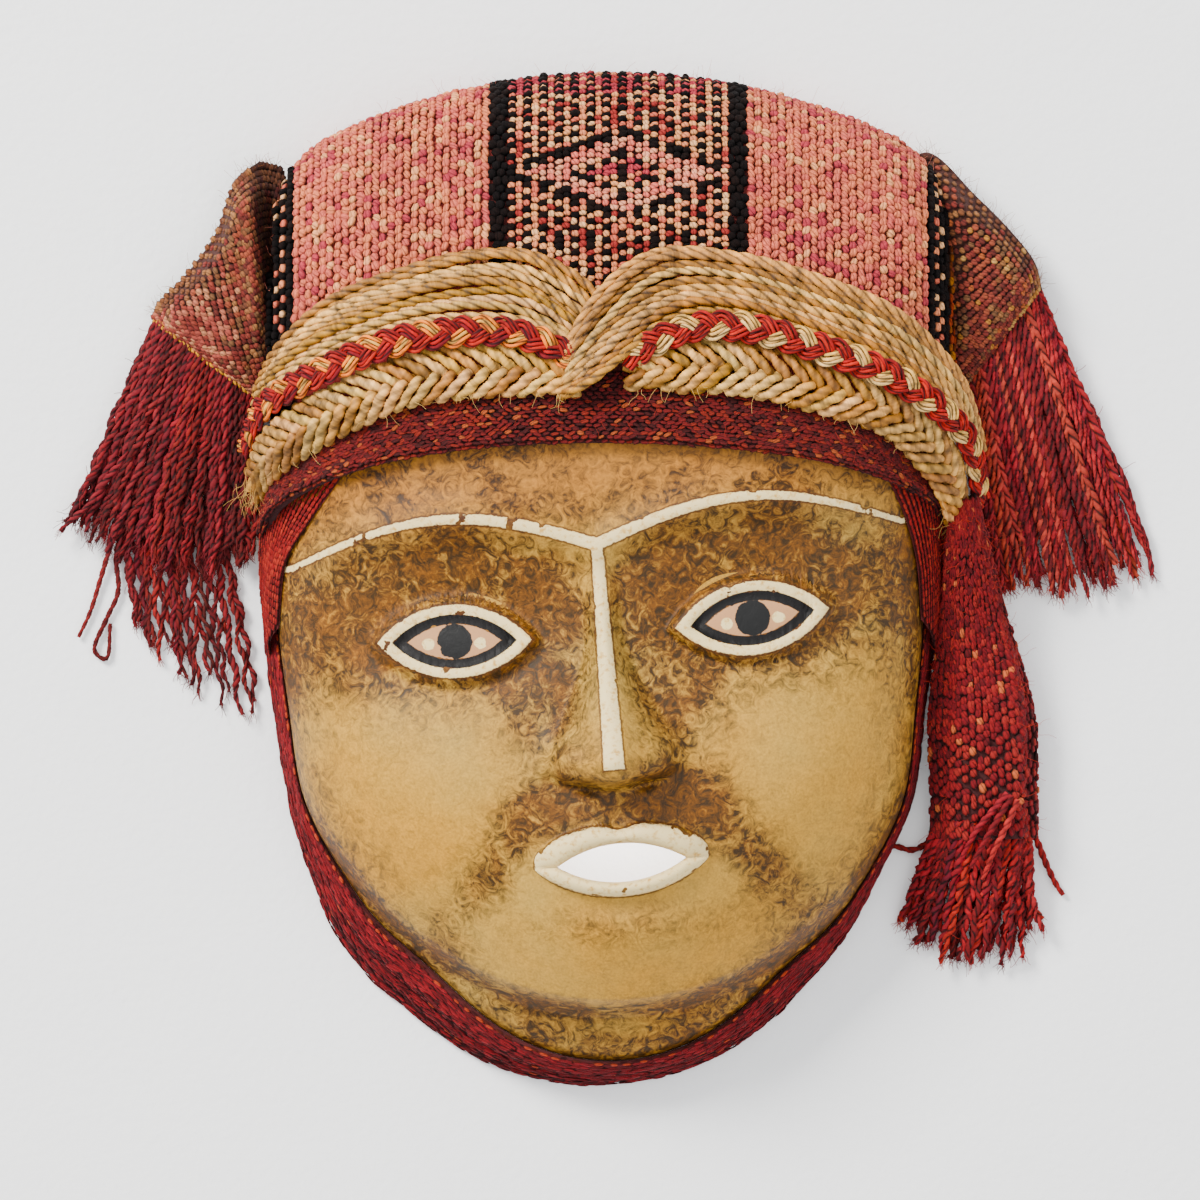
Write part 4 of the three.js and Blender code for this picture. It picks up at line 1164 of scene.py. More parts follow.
# The columns of stitches across the crown; where the dome falls away they stand closer in plan.
# Their kinds are 0 in the motif, 1 in the black columns, 2 in the pink fields, 3 and 4 at the sides
def crownColumns():
    columns = []
    width, row = crown["motifWidth"], crown["motifRow"]
    for i in range(-crown["motifColumns"], crown["motifColumns"]):
        x = crown["motifX"] + i * width
        columns.append({"x": x, "kind": 0, "index": i, "width": width, "row": row})
    for i, x in enumerate(crown["blackColumns"]):
        columns.append({"x": x, "kind": 1, "index": i, "width": 2.2, "row": 2.1})
    for side, x in ((-1, -31.2), (1, 34.5)):
        index = 0
        begins, stripeStep = crown["outerStripes"][side]
        while abs(outlineShare(x, 70.0, crown["stitchLift"])) < 0.999:
            far = side * (x - begins)
            inStripe = 0 <= far and columns[-1].get("depth", 0) < 4
            levels = domeHeight(np.array([x - 0.5, x + 0.5]), np.array([76.0, 76.0]), crown["stitchLift"])
            fall = np.diff(levels)[0]
            step = stripeStep if inStripe else crown["fieldWidth"] / math.hypot(1, fall) ** 0.5
            kind = 2 if far < 0 else (3 if inStripe else 4)
            column = {"x": x, "kind": kind, "index": index, "width": min(2.4, step * math.hypot(1, fall))}
            column["row"] = crown["stripeRow"] if kind == 3 else crown["fieldRow"]
            if kind > 2:
                column["depth"] = columns[-1].get("depth", 0) + 1
            columns.append(column)
            x += side * step
            index += 1
    return columns


# Lower edge of what the rope band leaves in sight
def bandTop(x):
    across = [-86, -70, -52, -32, -16, 0, 13, 32, 52, 70, 86]
    return np.interp(x, across, [50, 67, 75, 80, 78, 68, 78, 79, 73, 65, 46]) - 4


# Marks of the middle stripe: a pink diamond with a dark one in it, on a ground of spaced dots
def motifMarks(index, row, rng):
    across, up = np.abs(index * crown["motifWidth"]), np.abs(row * crown["motifRow"])
    outer = across / crown["motifHalf"][0] + up / crown["motifHalf"][1]
    inner = across / crown["heartHalf"][0] + up / crown["heartHalf"][1]
    even = index % 2 == 0
    stray = rng.random(len(index))
    ring = (inner > 0.72) & (inner < 1.1) & (even | (stray < 0.3))
    border = (outer > 1.0) & (outer < 1.28) & (even | (stray < 0.4))
    heart = (inner < 0.3) & even
    dots = (outer > 1.28) & even & (((row + index // 2) % 2 == 0) | (stray < 0.05))
    pink = (outer < 1.0) & (inner > 1.1)
    return dots | border | ring | heart, pink, (inner < 0.72) & ~heart


def crownDyes(kind, index, row, depth, y, rng):
    count = len(kind)
    streak = np.sin(index * 1.7 + 2.0 * np.sin(row * 0.21 + index)) * 0.5 + 0.5
    share = np.clip(0.35 * streak + rng.uniform(0, 0.8, count), 0, 1)[:, None]
    dyes = mix(dyeTable([crown["rose"]]), dyeTable([crown["salmon"]]), share)
    pick = rng.random(count)
    dyes = paintOver(dyes, pick < 0.10, rgba(crown["pale"]))
    dyes = paintOver(dyes, pick > 0.90, rgba(crown["magenta"]))
    black = pickDyes(rng, crown["blacks"], count)
    peach = pickDyes(rng, crown["peaches"], count, [0.28, 0.18, 0.18, 0.2, 0.16])
    marks, pink, inside = motifMarks(index, row, rng)
    motif = kind == 0
    dyes = paintOver(dyes, motif, peach)
    dyes = paintOver(dyes, motif & pink, pickDyes(rng, crown["pinks"], count))
    reddened = (inside & (pick < 0.6)) | ((y > 120.5) & (pick < 0.5))
    dyes = paintOver(dyes, motif & reddened, rgba(crown["magenta"]))
    dark = (motif & marks & (pick > 0.03)) | (kind == 1)
    zigzag = ((depth == 2) & (row % 2 == 0)) | ((depth == 3) & (row % 2 == 1) & (pick < 0.75))
    dark |= (kind == 3) & ~zigzag
    dyes = paintOver(dyes, kind == 3, pickDyes(rng, crown["peaches"][:3], count))
    dyes = paintOver(dyes, kind == 4, pickDyes(rng, crown["browns"], count))
    return paintOver(dyes, dark, black), dark


# Stitches of one column that the band leaves in sight, a row each: place, direction, and the column's facts
def columnStitches(column):
    x, grow = column["x"], crown["stitchLift"]
    ys = np.linspace(hemY(x), 128, 600)
    ys = ys[outlineShare(np.full_like(ys, x), ys, grow) < 0.9999]
    if len(ys) < 5:
        return None
    xs = np.full_like(ys, x)
    path = np.stack([xs, ys, domeHeight(xs, ys, grow)], -1)
    top = min(path[-1, 2], head["wallHeight"])
    wall = np.array([[x, ys[-1] + 0.1, z] for z in np.linspace(top, crown["lowestStitch"], 8)])
    path = np.concatenate([path, wall])
    s = arcLength(path)
    origin = np.interp(crown["motifY"], ys, s[: len(ys)])
    rows = np.arange(math.ceil(-origin / column["row"]), math.floor((s[-1] - origin) / column["row"]) + 1)
    stagger = {0: 0.3, 2: 0.5}.get(column["kind"], 0.0) * (column["index"] % 2)
    at = origin + (rows + stagger) * column["row"]
    keep = (at > 0) & (at < s[-1])
    rows, at = rows[keep], at[keep]
    place, ahead, behind = (readAlong(at + shift, s, path) for shift in (0, 0.4, -0.4))
    seen = place[:, 1] > bandTop(place[:, 0])
    facts = [column["kind"], column["index"]], [column.get("depth", 0), column["width"], column["row"]]
    first, last = (np.tile(values, (seen.sum(), 1)) for values in facts)
    return np.concatenate([place[seen], unit(ahead - behind)[seen], first, rows[seen][:, None], last], 1)


def crownStitches(crisp, soft):
    rng = np.random.default_rng(7)
    tables = [columnStitches(column) for column in crownColumns()]
    table = np.concatenate([rows for rows in tables if rows is not None])
    points, axes = table[:, :3], table[:, 3:6]
    kind, index, row, depth = table[:, 6:10].astype(int).T
    width, pitch = table[:, 10:].T
    normals = domeNormal(points[:, 0], points[:, 1], points[:, 2], crown["stitchLift"])
    dyes, dark = crownDyes(kind, index, row, depth, points[:, 1], rng)
    across = unit(np.cross(normals, axes))
    way = np.where(index % 2 == 0, 1, -1)
    lean = way * np.where(kind == 2, 0.4, 0.3) + rng.normal(0, 0.2, len(index))
    axes = axes + across * lean[:, None]
    shoved = np.where(kind == 1, 0.6 * (-1.0) ** row, 0.0)
    points = points + rng.normal(0, 0.13, points.shape) + across * shoved[:, None]
    thick = np.where(dark, 1.35, 1.0) * crown["stitchThickness"] * rng.uniform(0.85, 1.15, len(index))
    proud = dark & (kind == 0)
    wide = width * np.where(proud, 1.4, np.where(kind == 2, 1.2, 1.25))
    long = pitch * np.where(proud, 1.5, np.where(kind == 0, 1.35, 1.5))
    laid = (points, axes, normals, np.stack([thick, wide, long], -1), dyes)
    pieces = []
    for name, chosen, material in (("motif_stitches", kind != 2, crisp), ("field_stitches", kind == 2, soft)):
        kept = (values[chosen] for values in laid)
        pieces.append(stitchObject(name, *kept, material, grainOf(*crown["grain"])))
    return pieces


# The cloth's two ends, pulled out at the sides as fans from where the band grips them
flaps = {
    -1: {
        "pinch": (-84, 42, 5),
        "rim": [
            (-82, 102.5, 8),
            (-87.4, 104, 9),
            (-91, 102, 10),
            (-94.5, 98.4, 10),
            (-98.8, 86.9, 9),
            (-106.4, 76.4, 8),
            (-113.1, 69.3, 7),
            (-114.8, 65.4, 6),
        ],
        "valley": (0.06, 0.36),  # where the fold beside the head ends, in shares of the fan
        "height": 9,
        "spacing": (1.85, 1.55),  # of its stitches, outwards and round
    },
    1: {
        "pinch": (84, 42, 6),
        "rim": [
            (75, 105.5, 9),
            (79.6, 106.9, 10),
            (90.9, 96.1, 11),
            (99.6, 87.4, 10),
            (105.9, 79.4, 8),
            (107.9, 72.4, 6),
        ],
        "valley": (0.02, 0.30),
        "height": 8.5,
        "spacing": (1.75, 1.85),
    },
}


def flapPoint(side, t, w, lift=0.0):
    flap = flaps[side]
    t, w = np.broadcast_arrays(np.asarray(t, float), np.asarray(w, float))
    rim = smoothRun(flap["rim"], w.ravel()).reshape((*w.shape, 3))
    point = mix(np.array(flap["pinch"], float), rim, mix(0.08, 1, t)[..., None])
    ridge = smoothstep(w, *flap["valley"]) * (1 - 0.5 * smoothstep(w, 0.6, 1.05))
    ridge = ridge * mix(0.45, 1, smoothstep(t, 0, 0.45))
    pleats = 0.9 * np.sin(2 * np.pi * (2.6 * w + 0.15 * t)) * t * (1 - t**3) * (w > 0.15)
    creases = 0.35 * np.sin(23 * w + 9 * t) * np.sin(np.pi * t)
    rolled = smoothstep(t, 0.80, 1.0) ** 2 * (0.72 * flap["height"] * ridge + 2.0)
    point[..., 2] += flap["height"] * ridge + pleats + creases - rolled + lift
    point[..., 2] = np.maximum(point[..., 2], 1.2)
    return point


def flapNormal(side, t, w):
    step = 0.01
    along = flapPoint(side, t + step, w) - flapPoint(side, t - step, w)
    across = flapPoint(side, t, w + step) - flapPoint(side, t, w - step)
    normal = unit(np.cross(along, across))
    return normal * np.sign(normal[..., 2:3])


def flapSheet(side):
    t, w = np.meshgrid(np.linspace(0, 1, 44), np.linspace(0, 1, 64), indexing="ij")
    points = flapPoint(side, t, w).reshape(-1, 3)
    faces = gridFaces(44, 64)
    # Darker than the flap's yarns: painted shade for the gaps between its stitches
    dye = np.tile(rgba((0.24, 0.10, 0.07)), (len(points), 1))
    faces = faces[:, ::-1] if side > 0 else faces
    return makeObject("flap_sheet", points, faces, attributes={"yarnColor": dye})


flapColors = {
    "ochres": [
        (0.58, 0.39, 0.28),
        (0.49, 0.31, 0.22),
        (0.62, 0.43, 0.30),
        (0.41, 0.25, 0.19),
        (0.47, 0.33, 0.24),
    ],
    "maroons": [(0.48, 0.21, 0.19), (0.55, 0.27, 0.23), (0.39, 0.18, 0.16), (0.60, 0.32, 0.25)],
    "mauves": [
        (0.66, 0.34, 0.30),
        (0.74, 0.46, 0.38),
        (0.50, 0.22, 0.20),
        (0.80, 0.56, 0.44),
        (0.58, 0.28, 0.24),
    ],
    "brights": [(0.72, 0.50, 0.30), (0.78, 0.60, 0.40), (0.68, 0.38, 0.26)],
    "grain": (1, 1, 1, 0.14, 0.22, 5),
}


def flapDyes(side, t, w, rng):
    count = len(t)
    pick = rng.random(count)
    drift = 0.10 * np.sin(9 * t + 2) + rng.normal(0, 0.08, count)

    def some(label, first=None):
        return pickDyes(rng, flapColors[label][:first], count)

    dyes = some("ochres")
    dyes = paintOver(dyes, (w + drift > 0.42) | (pick < 0.3), some("maroons"))
    if side < 0:
        dyes = paintOver(dyes, (w > 0.45) & (pick > 0.62), some("ochres"))
        dyes = paintOver(dyes, w + drift > 0.72, some("mauves"))
    else:
        dyes = paintOver(dyes, (pick > 0.55) & (np.sin(15 * w + 5 * t) > 0.1), some("ochres"))
        dyes = paintOver(dyes, pick > 0.93, some("brights"))
        dyes = paintOver(dyes, w > 0.955, some("brights"))
    dyes = paintOver(dyes, (t + 0.4 * drift > 0.9) & (w < 0.93), some("ochres", 4))
    # painted shade: the stitches in the fold beside the head are darkened
    return paintOver(dyes, w < flaps[side]["valley"][1] * 0.75, dyes * [0.3, 0.25, 0.25, 1])


def flapStitches(side, material):
    rng = np.random.default_rng(19 + side)
    flap = flaps[side]
    length = np.linalg.norm(np.subtract(flap["rim"][2], flap["pinch"]))
    along, beside = flap["spacing"]
    ts, ws = [], []
    for i, t in enumerate(np.arange(0.05, 1.0, along / length)):
        arc = flapPoint(side, np.full(80, t), np.linspace(0, 1, 80))
        count = max(5, int(arcLength(arc)[-1] / beside))
        ts.append(np.full(count, t))
        ws.append((np.arange(count) + 0.5 + (0.5 * (i % 2) if side < 0 else 0)) / (count + 0.5))
    t, w = np.concatenate(ts), np.clip(np.concatenate(ws), 0.005, 0.99)
    dyes = flapDyes(side, t, w, rng)
    points = flapPoint(side, t, w, 0.8)
    if side < 0:
        axes = unit(flapPoint(side, t + 0.02, w) - flapPoint(side, t - 0.02, w))
        size = [1.6, beside * 1.25, along * 1.35]
    else:
        axes = unit(flapPoint(side, t, w + 0.02) - flapPoint(side, t, w - 0.02))
        size = [1.7, along * 1.15, beside * 1.22]
    points = points + rng.normal(0, 0.08, points.shape)
    laid = (points, axes, flapNormal(side, t, w), np.tile(size, (len(t), 1)), dyes)
    return stitchObject("flap_stitches_" + sideNames[side], *laid, material, grainOf(*flapColors["grain"]))


# The ochre roll along the left flap's lower edge
def flapRoll(material):
    rng = np.random.default_rng(71)
    t = np.linspace(0.1, 1.0, 40)
    points = flapPoint(-1, t, np.full(40, 1.0), 0.6)
    lines = []
    for shift, size, phase, dye in (
        ([0, -0.5, 0.3], 1 + 0.2 * np.sin(13 * t), 0.0, (0.78, 0.56, 0.28)),
        ([0.2, 0.5, 0.5], 0.8 + 0.2 * np.sin(17 * t), 2.0, (0.70, 0.46, 0.22)),
    ):
        wavy = points + shift + rng.normal(0, 0.15, (40, 3))
        lines.append({"points": wavy, "size": size, "phase": phase, "dye": dye})
    cord = {"Thickness": 0.0013, "Pitch": 0.003, "Plies": 2, "Points": 8, "Step": 0.0006}
    return cordObject("flap_roll", lines, material, **cord)


# Stitches in rows on a cloth, every other row shifted by half a stitch: their row, and their place along it
def brickwork(rows, count, loose=0.0):
    j, i = np.divmod(np.arange(rows * count), count)
    return j, (i + 0.5 + 0.5 * (j % 2) + loose) / (count + 0.5)


# A cloth made from a surface function of t and w
def patchSheet(name, place, stations, across, dye, wrap=False):
    t, w = np.meshgrid(np.linspace(0, 1, stations), np.linspace(0, 1, across + wrap)[:across], indexing="ij")
    points = place(t.ravel(), w.ravel())
    dyes = np.tile(rgba(dye), (len(points), 1))
    return makeObject(name, points, gridFaces(stations, across, wrap), attributes={"yarnColor": dyes})


# The dark red cloth across the brow, rolled at its lower edge
brow = {
    "base": 1.2,
    "rows": 18,
    "perRow": 146,
    "grain": (2.7, 1.2, 1.1, 0.25, 0.5, 9),
    "shadedGround": (0.22, 0.05, 0.06),
    "reds": [
        (0.42, 0.12, 0.12),
        (0.33, 0.09, 0.09),
        (0.50, 0.17, 0.14),
        (0.64, 0.33, 0.22),
        (0.25, 0.07, 0.07),
    ],
}


def browEdges():
    base = brow["base"]

    def places(ends, front):
        run = [onSide(-1, ends - 3, 13, base), onSide(-1, ends + 4, 26, base)]
        run += frontRun(base, front)
        return run + [onSide(1, ends + 6, 26, base), onSide(1, ends, 13, base)]

    lower = places(14, [[-62, 27], [-35, 32], [2, 33.5], [35, 31.5], [60, 27]])
    upper = places(24, [[-64, 40], [-35, 48], [2, 51], [35, 48], [60, 42]])
    return lower, upper


def browPoint(t, w, lift=0.0):
    points, normals = between(*browEdges(), t, np.clip(w, 0, 1))
    roll = np.sqrt(np.clip(1 - ((np.clip(w, 0, 0.24) - 0.12) / 0.12) ** 2, 0, 1))
    swell = np.maximum(roll, 0.62 * smoothstep(w, 0.02, 0.24))
    height = 0.9 + 2.5 * swell * (1 - 0.5 * smoothstep(w, 0.6, 1))
    return points + normals * (height + lift)[:, None], normals


def browCloth(shadedGround, material):
    rng = np.random.default_rng(23)
    sheet = patchSheet("brow_cloth_sheet", lambda t, w: browPoint(t, w, -0.9)[0], 120, 18, brow["shadedGround"])
    row, t = brickwork(brow["rows"], brow["perRow"])
    w = (row + 0.4) / brow["rows"]
    points, normals = browPoint(t, w)
    ahead, _ = browPoint(t + 0.004, w)
    behind, _ = browPoint(t - 0.004, w)
    dyes = pickDyes(rng, brow["reds"], len(t), [0.34, 0.25, 0.22, 0.07, 0.12])
    points = points + rng.normal(0, 0.1, points.shape)
    laid = (points, unit(ahead - behind), normals, np.ones((len(t), 3)), dyes)
    stitches = stitchObject("brow_stitches", *laid, material, grainOf(*brow["grain"]))
    sheet.data.materials.append(shadedGround)
    return sheet, stitches


# The folded cloth round the jaw, from temple to temple: three layers, each with its own edge
jaw = {
    "from": 177,
    "to": 365,
    "gap": 0.1,
    # how far the folds reach out from the clay at shares of the way round
    "widthsAt": [
        *[0, 0.1, 0.2, 0.257, 0.295, 0.341, 0.382, 0.425, 0.463],
        *[0.5, 0.53, 0.558, 0.603, 0.644, 0.69, 0.73, 0.85, 0.9, 1],
    ],
    "widths": [2.6, 3, 2.8, 5.7, 8.4, 10.6, 10, 8.2, 6.2, 4.9, 4.9, 5.3, 6.2, 5.2, 2.8, 1.6, 1.6, 2.2, 2.2],
    "endHeight": 9,
    "height": 15,
    "floor": 1,
    "rows": 34,
    "perRow": 112,
    "grain": (4.6, 0.95, 0.6, 0.25, 0.12, 13),
    "shadedGround": (0.30, 0.05, 0.07),
    "reds": [(0.53, 0.12, 0.15), (0.46, 0.09, 0.13), (0.58, 0.16, 0.18), (0.40, 0.08, 0.11)],
    "bright": (0.74, 0.30, 0.22),
}
# The folds' section, once round: share along it, reach out from the clay, height
jawSection = {
    "share": [0, 0.05, 0.32, 0.36, 0.39, 0.42, 0.60, 0.64, 0.67, 0.70, 0.80, 0.84, 0.87, 0.95, 1],
    "reach": [0, 0.10, 0.56, 0.62, 0.60, 0.52, 0.84, 0.90, 0.88, 0.80, 1.04, 1.10, 1.02, 0.10, 0],
    "height": [0.88, 1, 0.80, 0.72, 0.63, 0.58, 0.45, 0.37, 0.30, 0.26, 0.16, 0.09, 0.05, 0.05, 0.88],
}


def jawPoint(t, w):
    t = np.clip(t, 0, 1)
    angle = np.radians(mix(jaw["from"], jaw["to"], t))
    low = np.sin(np.pi * t)
    wide = 0.5 + np.interp(t, jaw["widthsAt"], jaw["widths"])
    high = mix(jaw["endHeight"], jaw["height"], low)
    off = jaw["gap"] + wide * np.interp(w, jawSection["share"], jawSection["reach"])
    z = np.maximum(high * np.interp(w, jawSection["share"], jawSection["height"]), jaw["floor"])
    x, y = outlinePoint(angle, 1, 0)
    ahead, behind = (np.stack(outlinePoint(angle + turn, 1, 0), -1) for turn in (0.01, -0.01))
    ahead = ahead - behind
    outward = unit(np.stack([ahead[:, 1], -ahead[:, 0]], -1))
    return np.stack([x + outward[:, 0] * off, y + outward[:, 1] * off, z], -1)


def jawCloth(shadedGround, material):
    rng = np.random.default_rng(29)
    sheet = patchSheet("jaw_cloth_sheet", jawPoint, 260, 60, jaw["shadedGround"], wrap=True)
    rows, count = jaw["rows"], jaw["perRow"]
    row, t = brickwork(rows, count, rng.uniform(-0.2, 0.2, rows * count))
    w = 0.03 + 0.82 * (row + 0.5) / rows
    points = jawPoint(t, w)
    along = unit(jawPoint(t + 0.002, w) - jawPoint(t - 0.002, w))
    across = jawPoint(t, w + 0.01) - jawPoint(t, w - 0.01)
    normals = unit(np.cross(across, along))
    normals *= np.sign((normals * (points - np.array([-1.0, -5.0, -60.0]))).sum(1))[:, None]
    dyes = pickDyes(rng, jaw["reds"], len(t))

    def near(place, reach):
        return np.abs(w - place) < reach

    edge = near(0.06, 0.02) | near(0.36, 0.018) | near(0.64, 0.018)
    bright = (edge & (rng.random(len(t)) < 0.15)) | (near(0.06, 0.03) & (rng.random(len(t)) < 0.5))
    # painted shade: the stitches in the grooves between the layers are darkened
    dyes = paintOver(dyes, near(0.49, 0.02) | near(0.76, 0.02), dyes * [0.3, 0.3, 0.3, 1])  # in the grooves
    dyes = paintOver(dyes, bright, rgba(jaw["bright"]))
    sizes = np.tile([1.0, 1.0, 1.0], (len(t), 1))
    sizes[edge] = [1.3, 1.1, 0.6]
    points = points + normals * 0.2 + rng.normal(0, 0.1, points.shape)
    laid = (points, along, normals, sizes, dyes)
    stitches = stitchObject("jaw_stitches", *laid, material, grainOf(*jaw["grain"]))
    sheet.data.materials.append(shadedGround)
    return sheet, stitches


# The jaw cloth's two ends, which come up over the temples to the brow cloth
temples = {
    -1: {
        # y and z on the side wall, and reach out
        "outer": [(26, 14, 2), (12, 10, 3.6), (-4, 8, 3.6), (-20, 6, 2.6)],
        "inner": [(-67, 25), (-75, 14), (-81, 4), (-83, -12)],
    },
    1: {
        "outer": [(36, 15, 2.4), (26, 14, 3.6), (12, 10, 5), (-4, 8, 5), (-20, 6, 3.4)],
        "inner": [(68, 26), (73, 15), (76, 4), (77.2, -10)],
    },
    "reds": [(0.58, 0.13, 0.14), (0.50, 0.10, 0.12), (0.66, 0.22, 0.19)],
    "shadedGround": (0.34, 0.05, 0.06),
    "rows": 15,
    "perRow": 26,
    "grain": (2.8, 1.2, 0.9, 0.2, 0.3, 21),
}


def templePoint(side, t, w, lift=0.0):
    style = temples[side]
    outer = [onSide(side, y, z, reach) for y, z, reach in style["outer"]]
    inner = [onFront(x, y, 0.5) for x, y in style["inner"]]
    points, normals = between(outer, inner, t, w)
    raised = 0.5 + 1.5 * np.sin(np.pi * np.clip(w, 0, 1) ** 1.4) + lift
    return points + normals * raised[:, None], normals


def templeFold(side, shadedGround, material):
    rng = np.random.default_rng(61 + side)
    name = "temple_fold_" + sideNames[side]
    sheet = patchSheet(name, lambda t, w: templePoint(side, t, w, -0.5)[0], 40, 16, temples["shadedGround"])
    row, t = brickwork(temples["rows"], temples["perRow"])
    w = (row + 0.5) / temples["rows"]
    points, normals = templePoint(side, t, w)
    axes = unit(templePoint(side, t + 0.01, w)[0] - templePoint(side, t - 0.01, w)[0])
    laid = (points, axes, normals, np.ones((len(t), 3)), pickDyes(rng, temples["reds"], len(t)))
    stitches = stitchObject(name + "_stitches", *laid, material, grainOf(*temples["grain"]))
    sheet.data.materials.append(shadedGround)
    return sheet, stitches


# The cloth that hangs at the right, gathered into soft upright folds
scarf = {
    "line": [[88, 20, 22], [88.5, 12, 20], [90, -4, 13], [91.5, -20, 9], [93, -38, 8.2], [93.5, -65, 8]],
    "width": [6, 8.5, 14, 20, 24.5, 25.5],
    "thick": [5, 7, 10, 12, 13, 12.5],
    "folds": 6,
    "rows": 50,
    "around": 44,
    "grain": (3.1, 2.2, 1.6, 0.25, 0.25, 17),
    "shadedGround": (0.22, 0.05, 0.05),
    "reds": [
        (0.52, 0.14, 0.15),
        (0.44, 0.11, 0.13),
        (0.58, 0.19, 0.18),
        (0.36, 0.08, 0.10),
        (0.78, 0.42, 0.30),
    ],
}


def scarfPoint(t, w, lift=0.0):
    t = np.clip(t, 0, 1)
    middle = smoothRun(scarf["line"], t)
    sizes = smoothRun(np.stack([scarf["width"], scarf["thick"], np.zeros(6)], -1), t) / 2
    step = 0.01
    ahead, behind = (smoothRun(scarf["line"], np.clip(t + d, 0, 1)) for d in (step, -step))
    along = unit(ahead - behind)
    sideways = unit(np.cross(np.array([0, 0, 1.0]), along))
    up = unit(np.cross(along, sideways))
    angle = 2 * np.pi * w
    deep = 0.07 * smoothstep(t, 0.05, 0.4)
    fold = 1 + deep * np.cos(scarf["folds"] * angle + 1.6 * np.sin(3 * t))
    fold = fold + 0.5 * deep * np.sin(11 * t + 2 * angle)
    outward, raised = np.cos(angle) / sizes[:, 0], np.sin(angle) / sizes[:, 1]
    normal = unit(sideways * outward[:, None] + up * raised[:, None])
    across = sizes[:, 0] * np.cos(angle) * fold
    high = sizes[:, 1] * np.sin(angle) * fold
    return middle + sideways * across[:, None] + up * high[:, None] + normal * lift, normal


def sideScarf(shadedGround, material):
    rng = np.random.default_rng(37)
    place = lambda t, w: scarfPoint(t, w, -0.5)[0]
    sheet = patchSheet("side_scarf_sheet", place, 80, 64, scarf["shadedGround"], wrap=True)
    rows, columns = scarf["rows"], scarf["around"]
    i, j = np.divmod(np.arange(rows * columns), columns)
    t = (i + 0.5 + 0.5 * (j % 2)) / (rows + 0.5) + rng.normal(0, 0.003, len(i))
    w = (j + 0.5) / columns
    upright = scarfPoint(t, w)[0][:, 2] > 1.2
    t, w = t[upright], w[upright]
    points, normals = scarfPoint(t, w)
    ahead, _ = scarfPoint(t + 0.01, w)
    behind, _ = scarfPoint(t - 0.01, w)
    dyes = pickDyes(rng, scarf["reds"], len(t), [0.36, 0.28, 0.21, 0.12, 0.03])
    width = np.interp(t, np.linspace(0, 1, 6), scarf["width"]) / 22
    sizes = np.stack([np.ones(len(t)), np.clip(width, 0.5, 1.16), np.ones(len(t))], -1)
    points = points + rng.normal(0, 0.12, points.shape)
    laid = (points, unit(ahead - behind), normals, sizes, dyes)
    stitches = stitchObject("scarf_stitches", *laid, material, grainOf(*scarf["grain"]))
    sheet.data.materials.append(shadedGround)
    return sheet, stitches


# Fringes: cords from a root line to a run of tips, in layers of a count and a height
fringes = {
    "left_fringe": {
        "node": "fringe_left",
        "tips": [[-136, 15, 3.6], [-128, 8, 4.6], [-113, 3.5, 5], [-99, 2.5, 5], [-89, 7, 5]],
        "layers": [(26, 1.4), (26, 0.2), (24, -1.2), (20, -2.4)],
        "thickness": 2.0,
        "pitch": 0.0058,
        "dyes": [(0.40, 0.10, 0.12), (0.35, 0.08, 0.10), (0.46, 0.13, 0.14), (0.30, 0.06, 0.08)],
        "rise": 1.6,
        "wander": 3.4,
        "crimp": 0.5,
        "seed": 41,
    },
    "left_under_fringe": {
        "node": "under_fringe_left",
        "tips": [[-121, -11, 1.6], [-115.5, -19, 1.6], [-108, -23, 1.8], [-100, -30, 1.8], [-88.5, -34, 1.6]],
        "layers": [(14, 0.3), (12, -0.5)],
        "thickness": 1.75,
        "pitch": 0.0052,
        "dyes": [(0.40, 0.10, 0.11), (0.34, 0.07, 0.09), (0.46, 0.13, 0.13)],
        "rise": 0.2,
        "wander": 1.4,
        "crimp": 0.6,
        "seed": 43,
    },
    "right_fringe": {
        "node": "fringe_right",
        "tips": [
            [97, -5, 2.5],
            [102.5, 0.5, 4],
            [111, -2.5, 4.4],
            [120, -3.5, 4.2],
            [128, 1, 3.8],
            [136.5, 3.5, 2.5],
        ],
        "layers": [(24, 1.3), (23, 0.0), (21, -1.4), (16, -2.8)],
        "thickness": 2.1,
        "pitch": 0.0066,
        "dyes": [(0.60, 0.20, 0.21), (0.51, 0.15, 0.17), (0.65, 0.26, 0.23), (0.42, 0.12, 0.14)],
        "rise": 1.2,
        "wander": 2.4,
        "crimp": 0.32,
        "seed": 47,
    },
    "scarf_fringe_cords": {
        "node": "scarf_fringe",
        "tips": [[73, -84, 1.6], [77.5, -93, 2.6], [88, -97, 3.2], [98, -95, 3.2], [106.5, -88, 2.4]],
        "layers": [(18, 3.0), (17, 0.0), (14, -2.5)],
        "thickness": 2.1,
        "pitch": 0.0058,
        "dyes": [(0.56, 0.14, 0.16), (0.47, 0.11, 0.13), (0.62, 0.19, 0.18), (0.38, 0.08, 0.10)],
        "rise": 0.8,
        "wander": 2.8,
        "crimp": 0.45,
        "seed": 53,
    },
}


fringeCord = {"Waist": 0.55, "Plies": 2, "Points": 8, "Step": 0.0011, "Unevenness": 0.3}
strayCord = {"Pitch": 0.0055, "Plies": 2, "Points": 9, "Step": 0.0009}


# Where each fringe's cords begin: w runs from the fringe's left to its right
def fringeRoot(name, w, drop):
    if name == "left_fringe":
        return flapPoint(-1, mix(1.0, 0.12, w), np.full_like(w, 0.985)) + [0, 0, drop - 1.2]
    if name == "left_under_fringe":
        return mix(np.array([-127.0, 30, 3.0]), np.array([-98.0, 18, 3.0]), w[:, None]) + [0, 0, drop]
    if name == "right_fringe":
        return flapPoint(1, mix(0.12, 1.0, w), np.full_like(w, 0.985)) + [0, 0, drop - 0.8]
    around = mix(0.47, 0.03, w) if drop > -1 else mix(0.53, 0.97, w)
    return scarfPoint(np.full_like(w, 0.965), around, -1.0)[0]


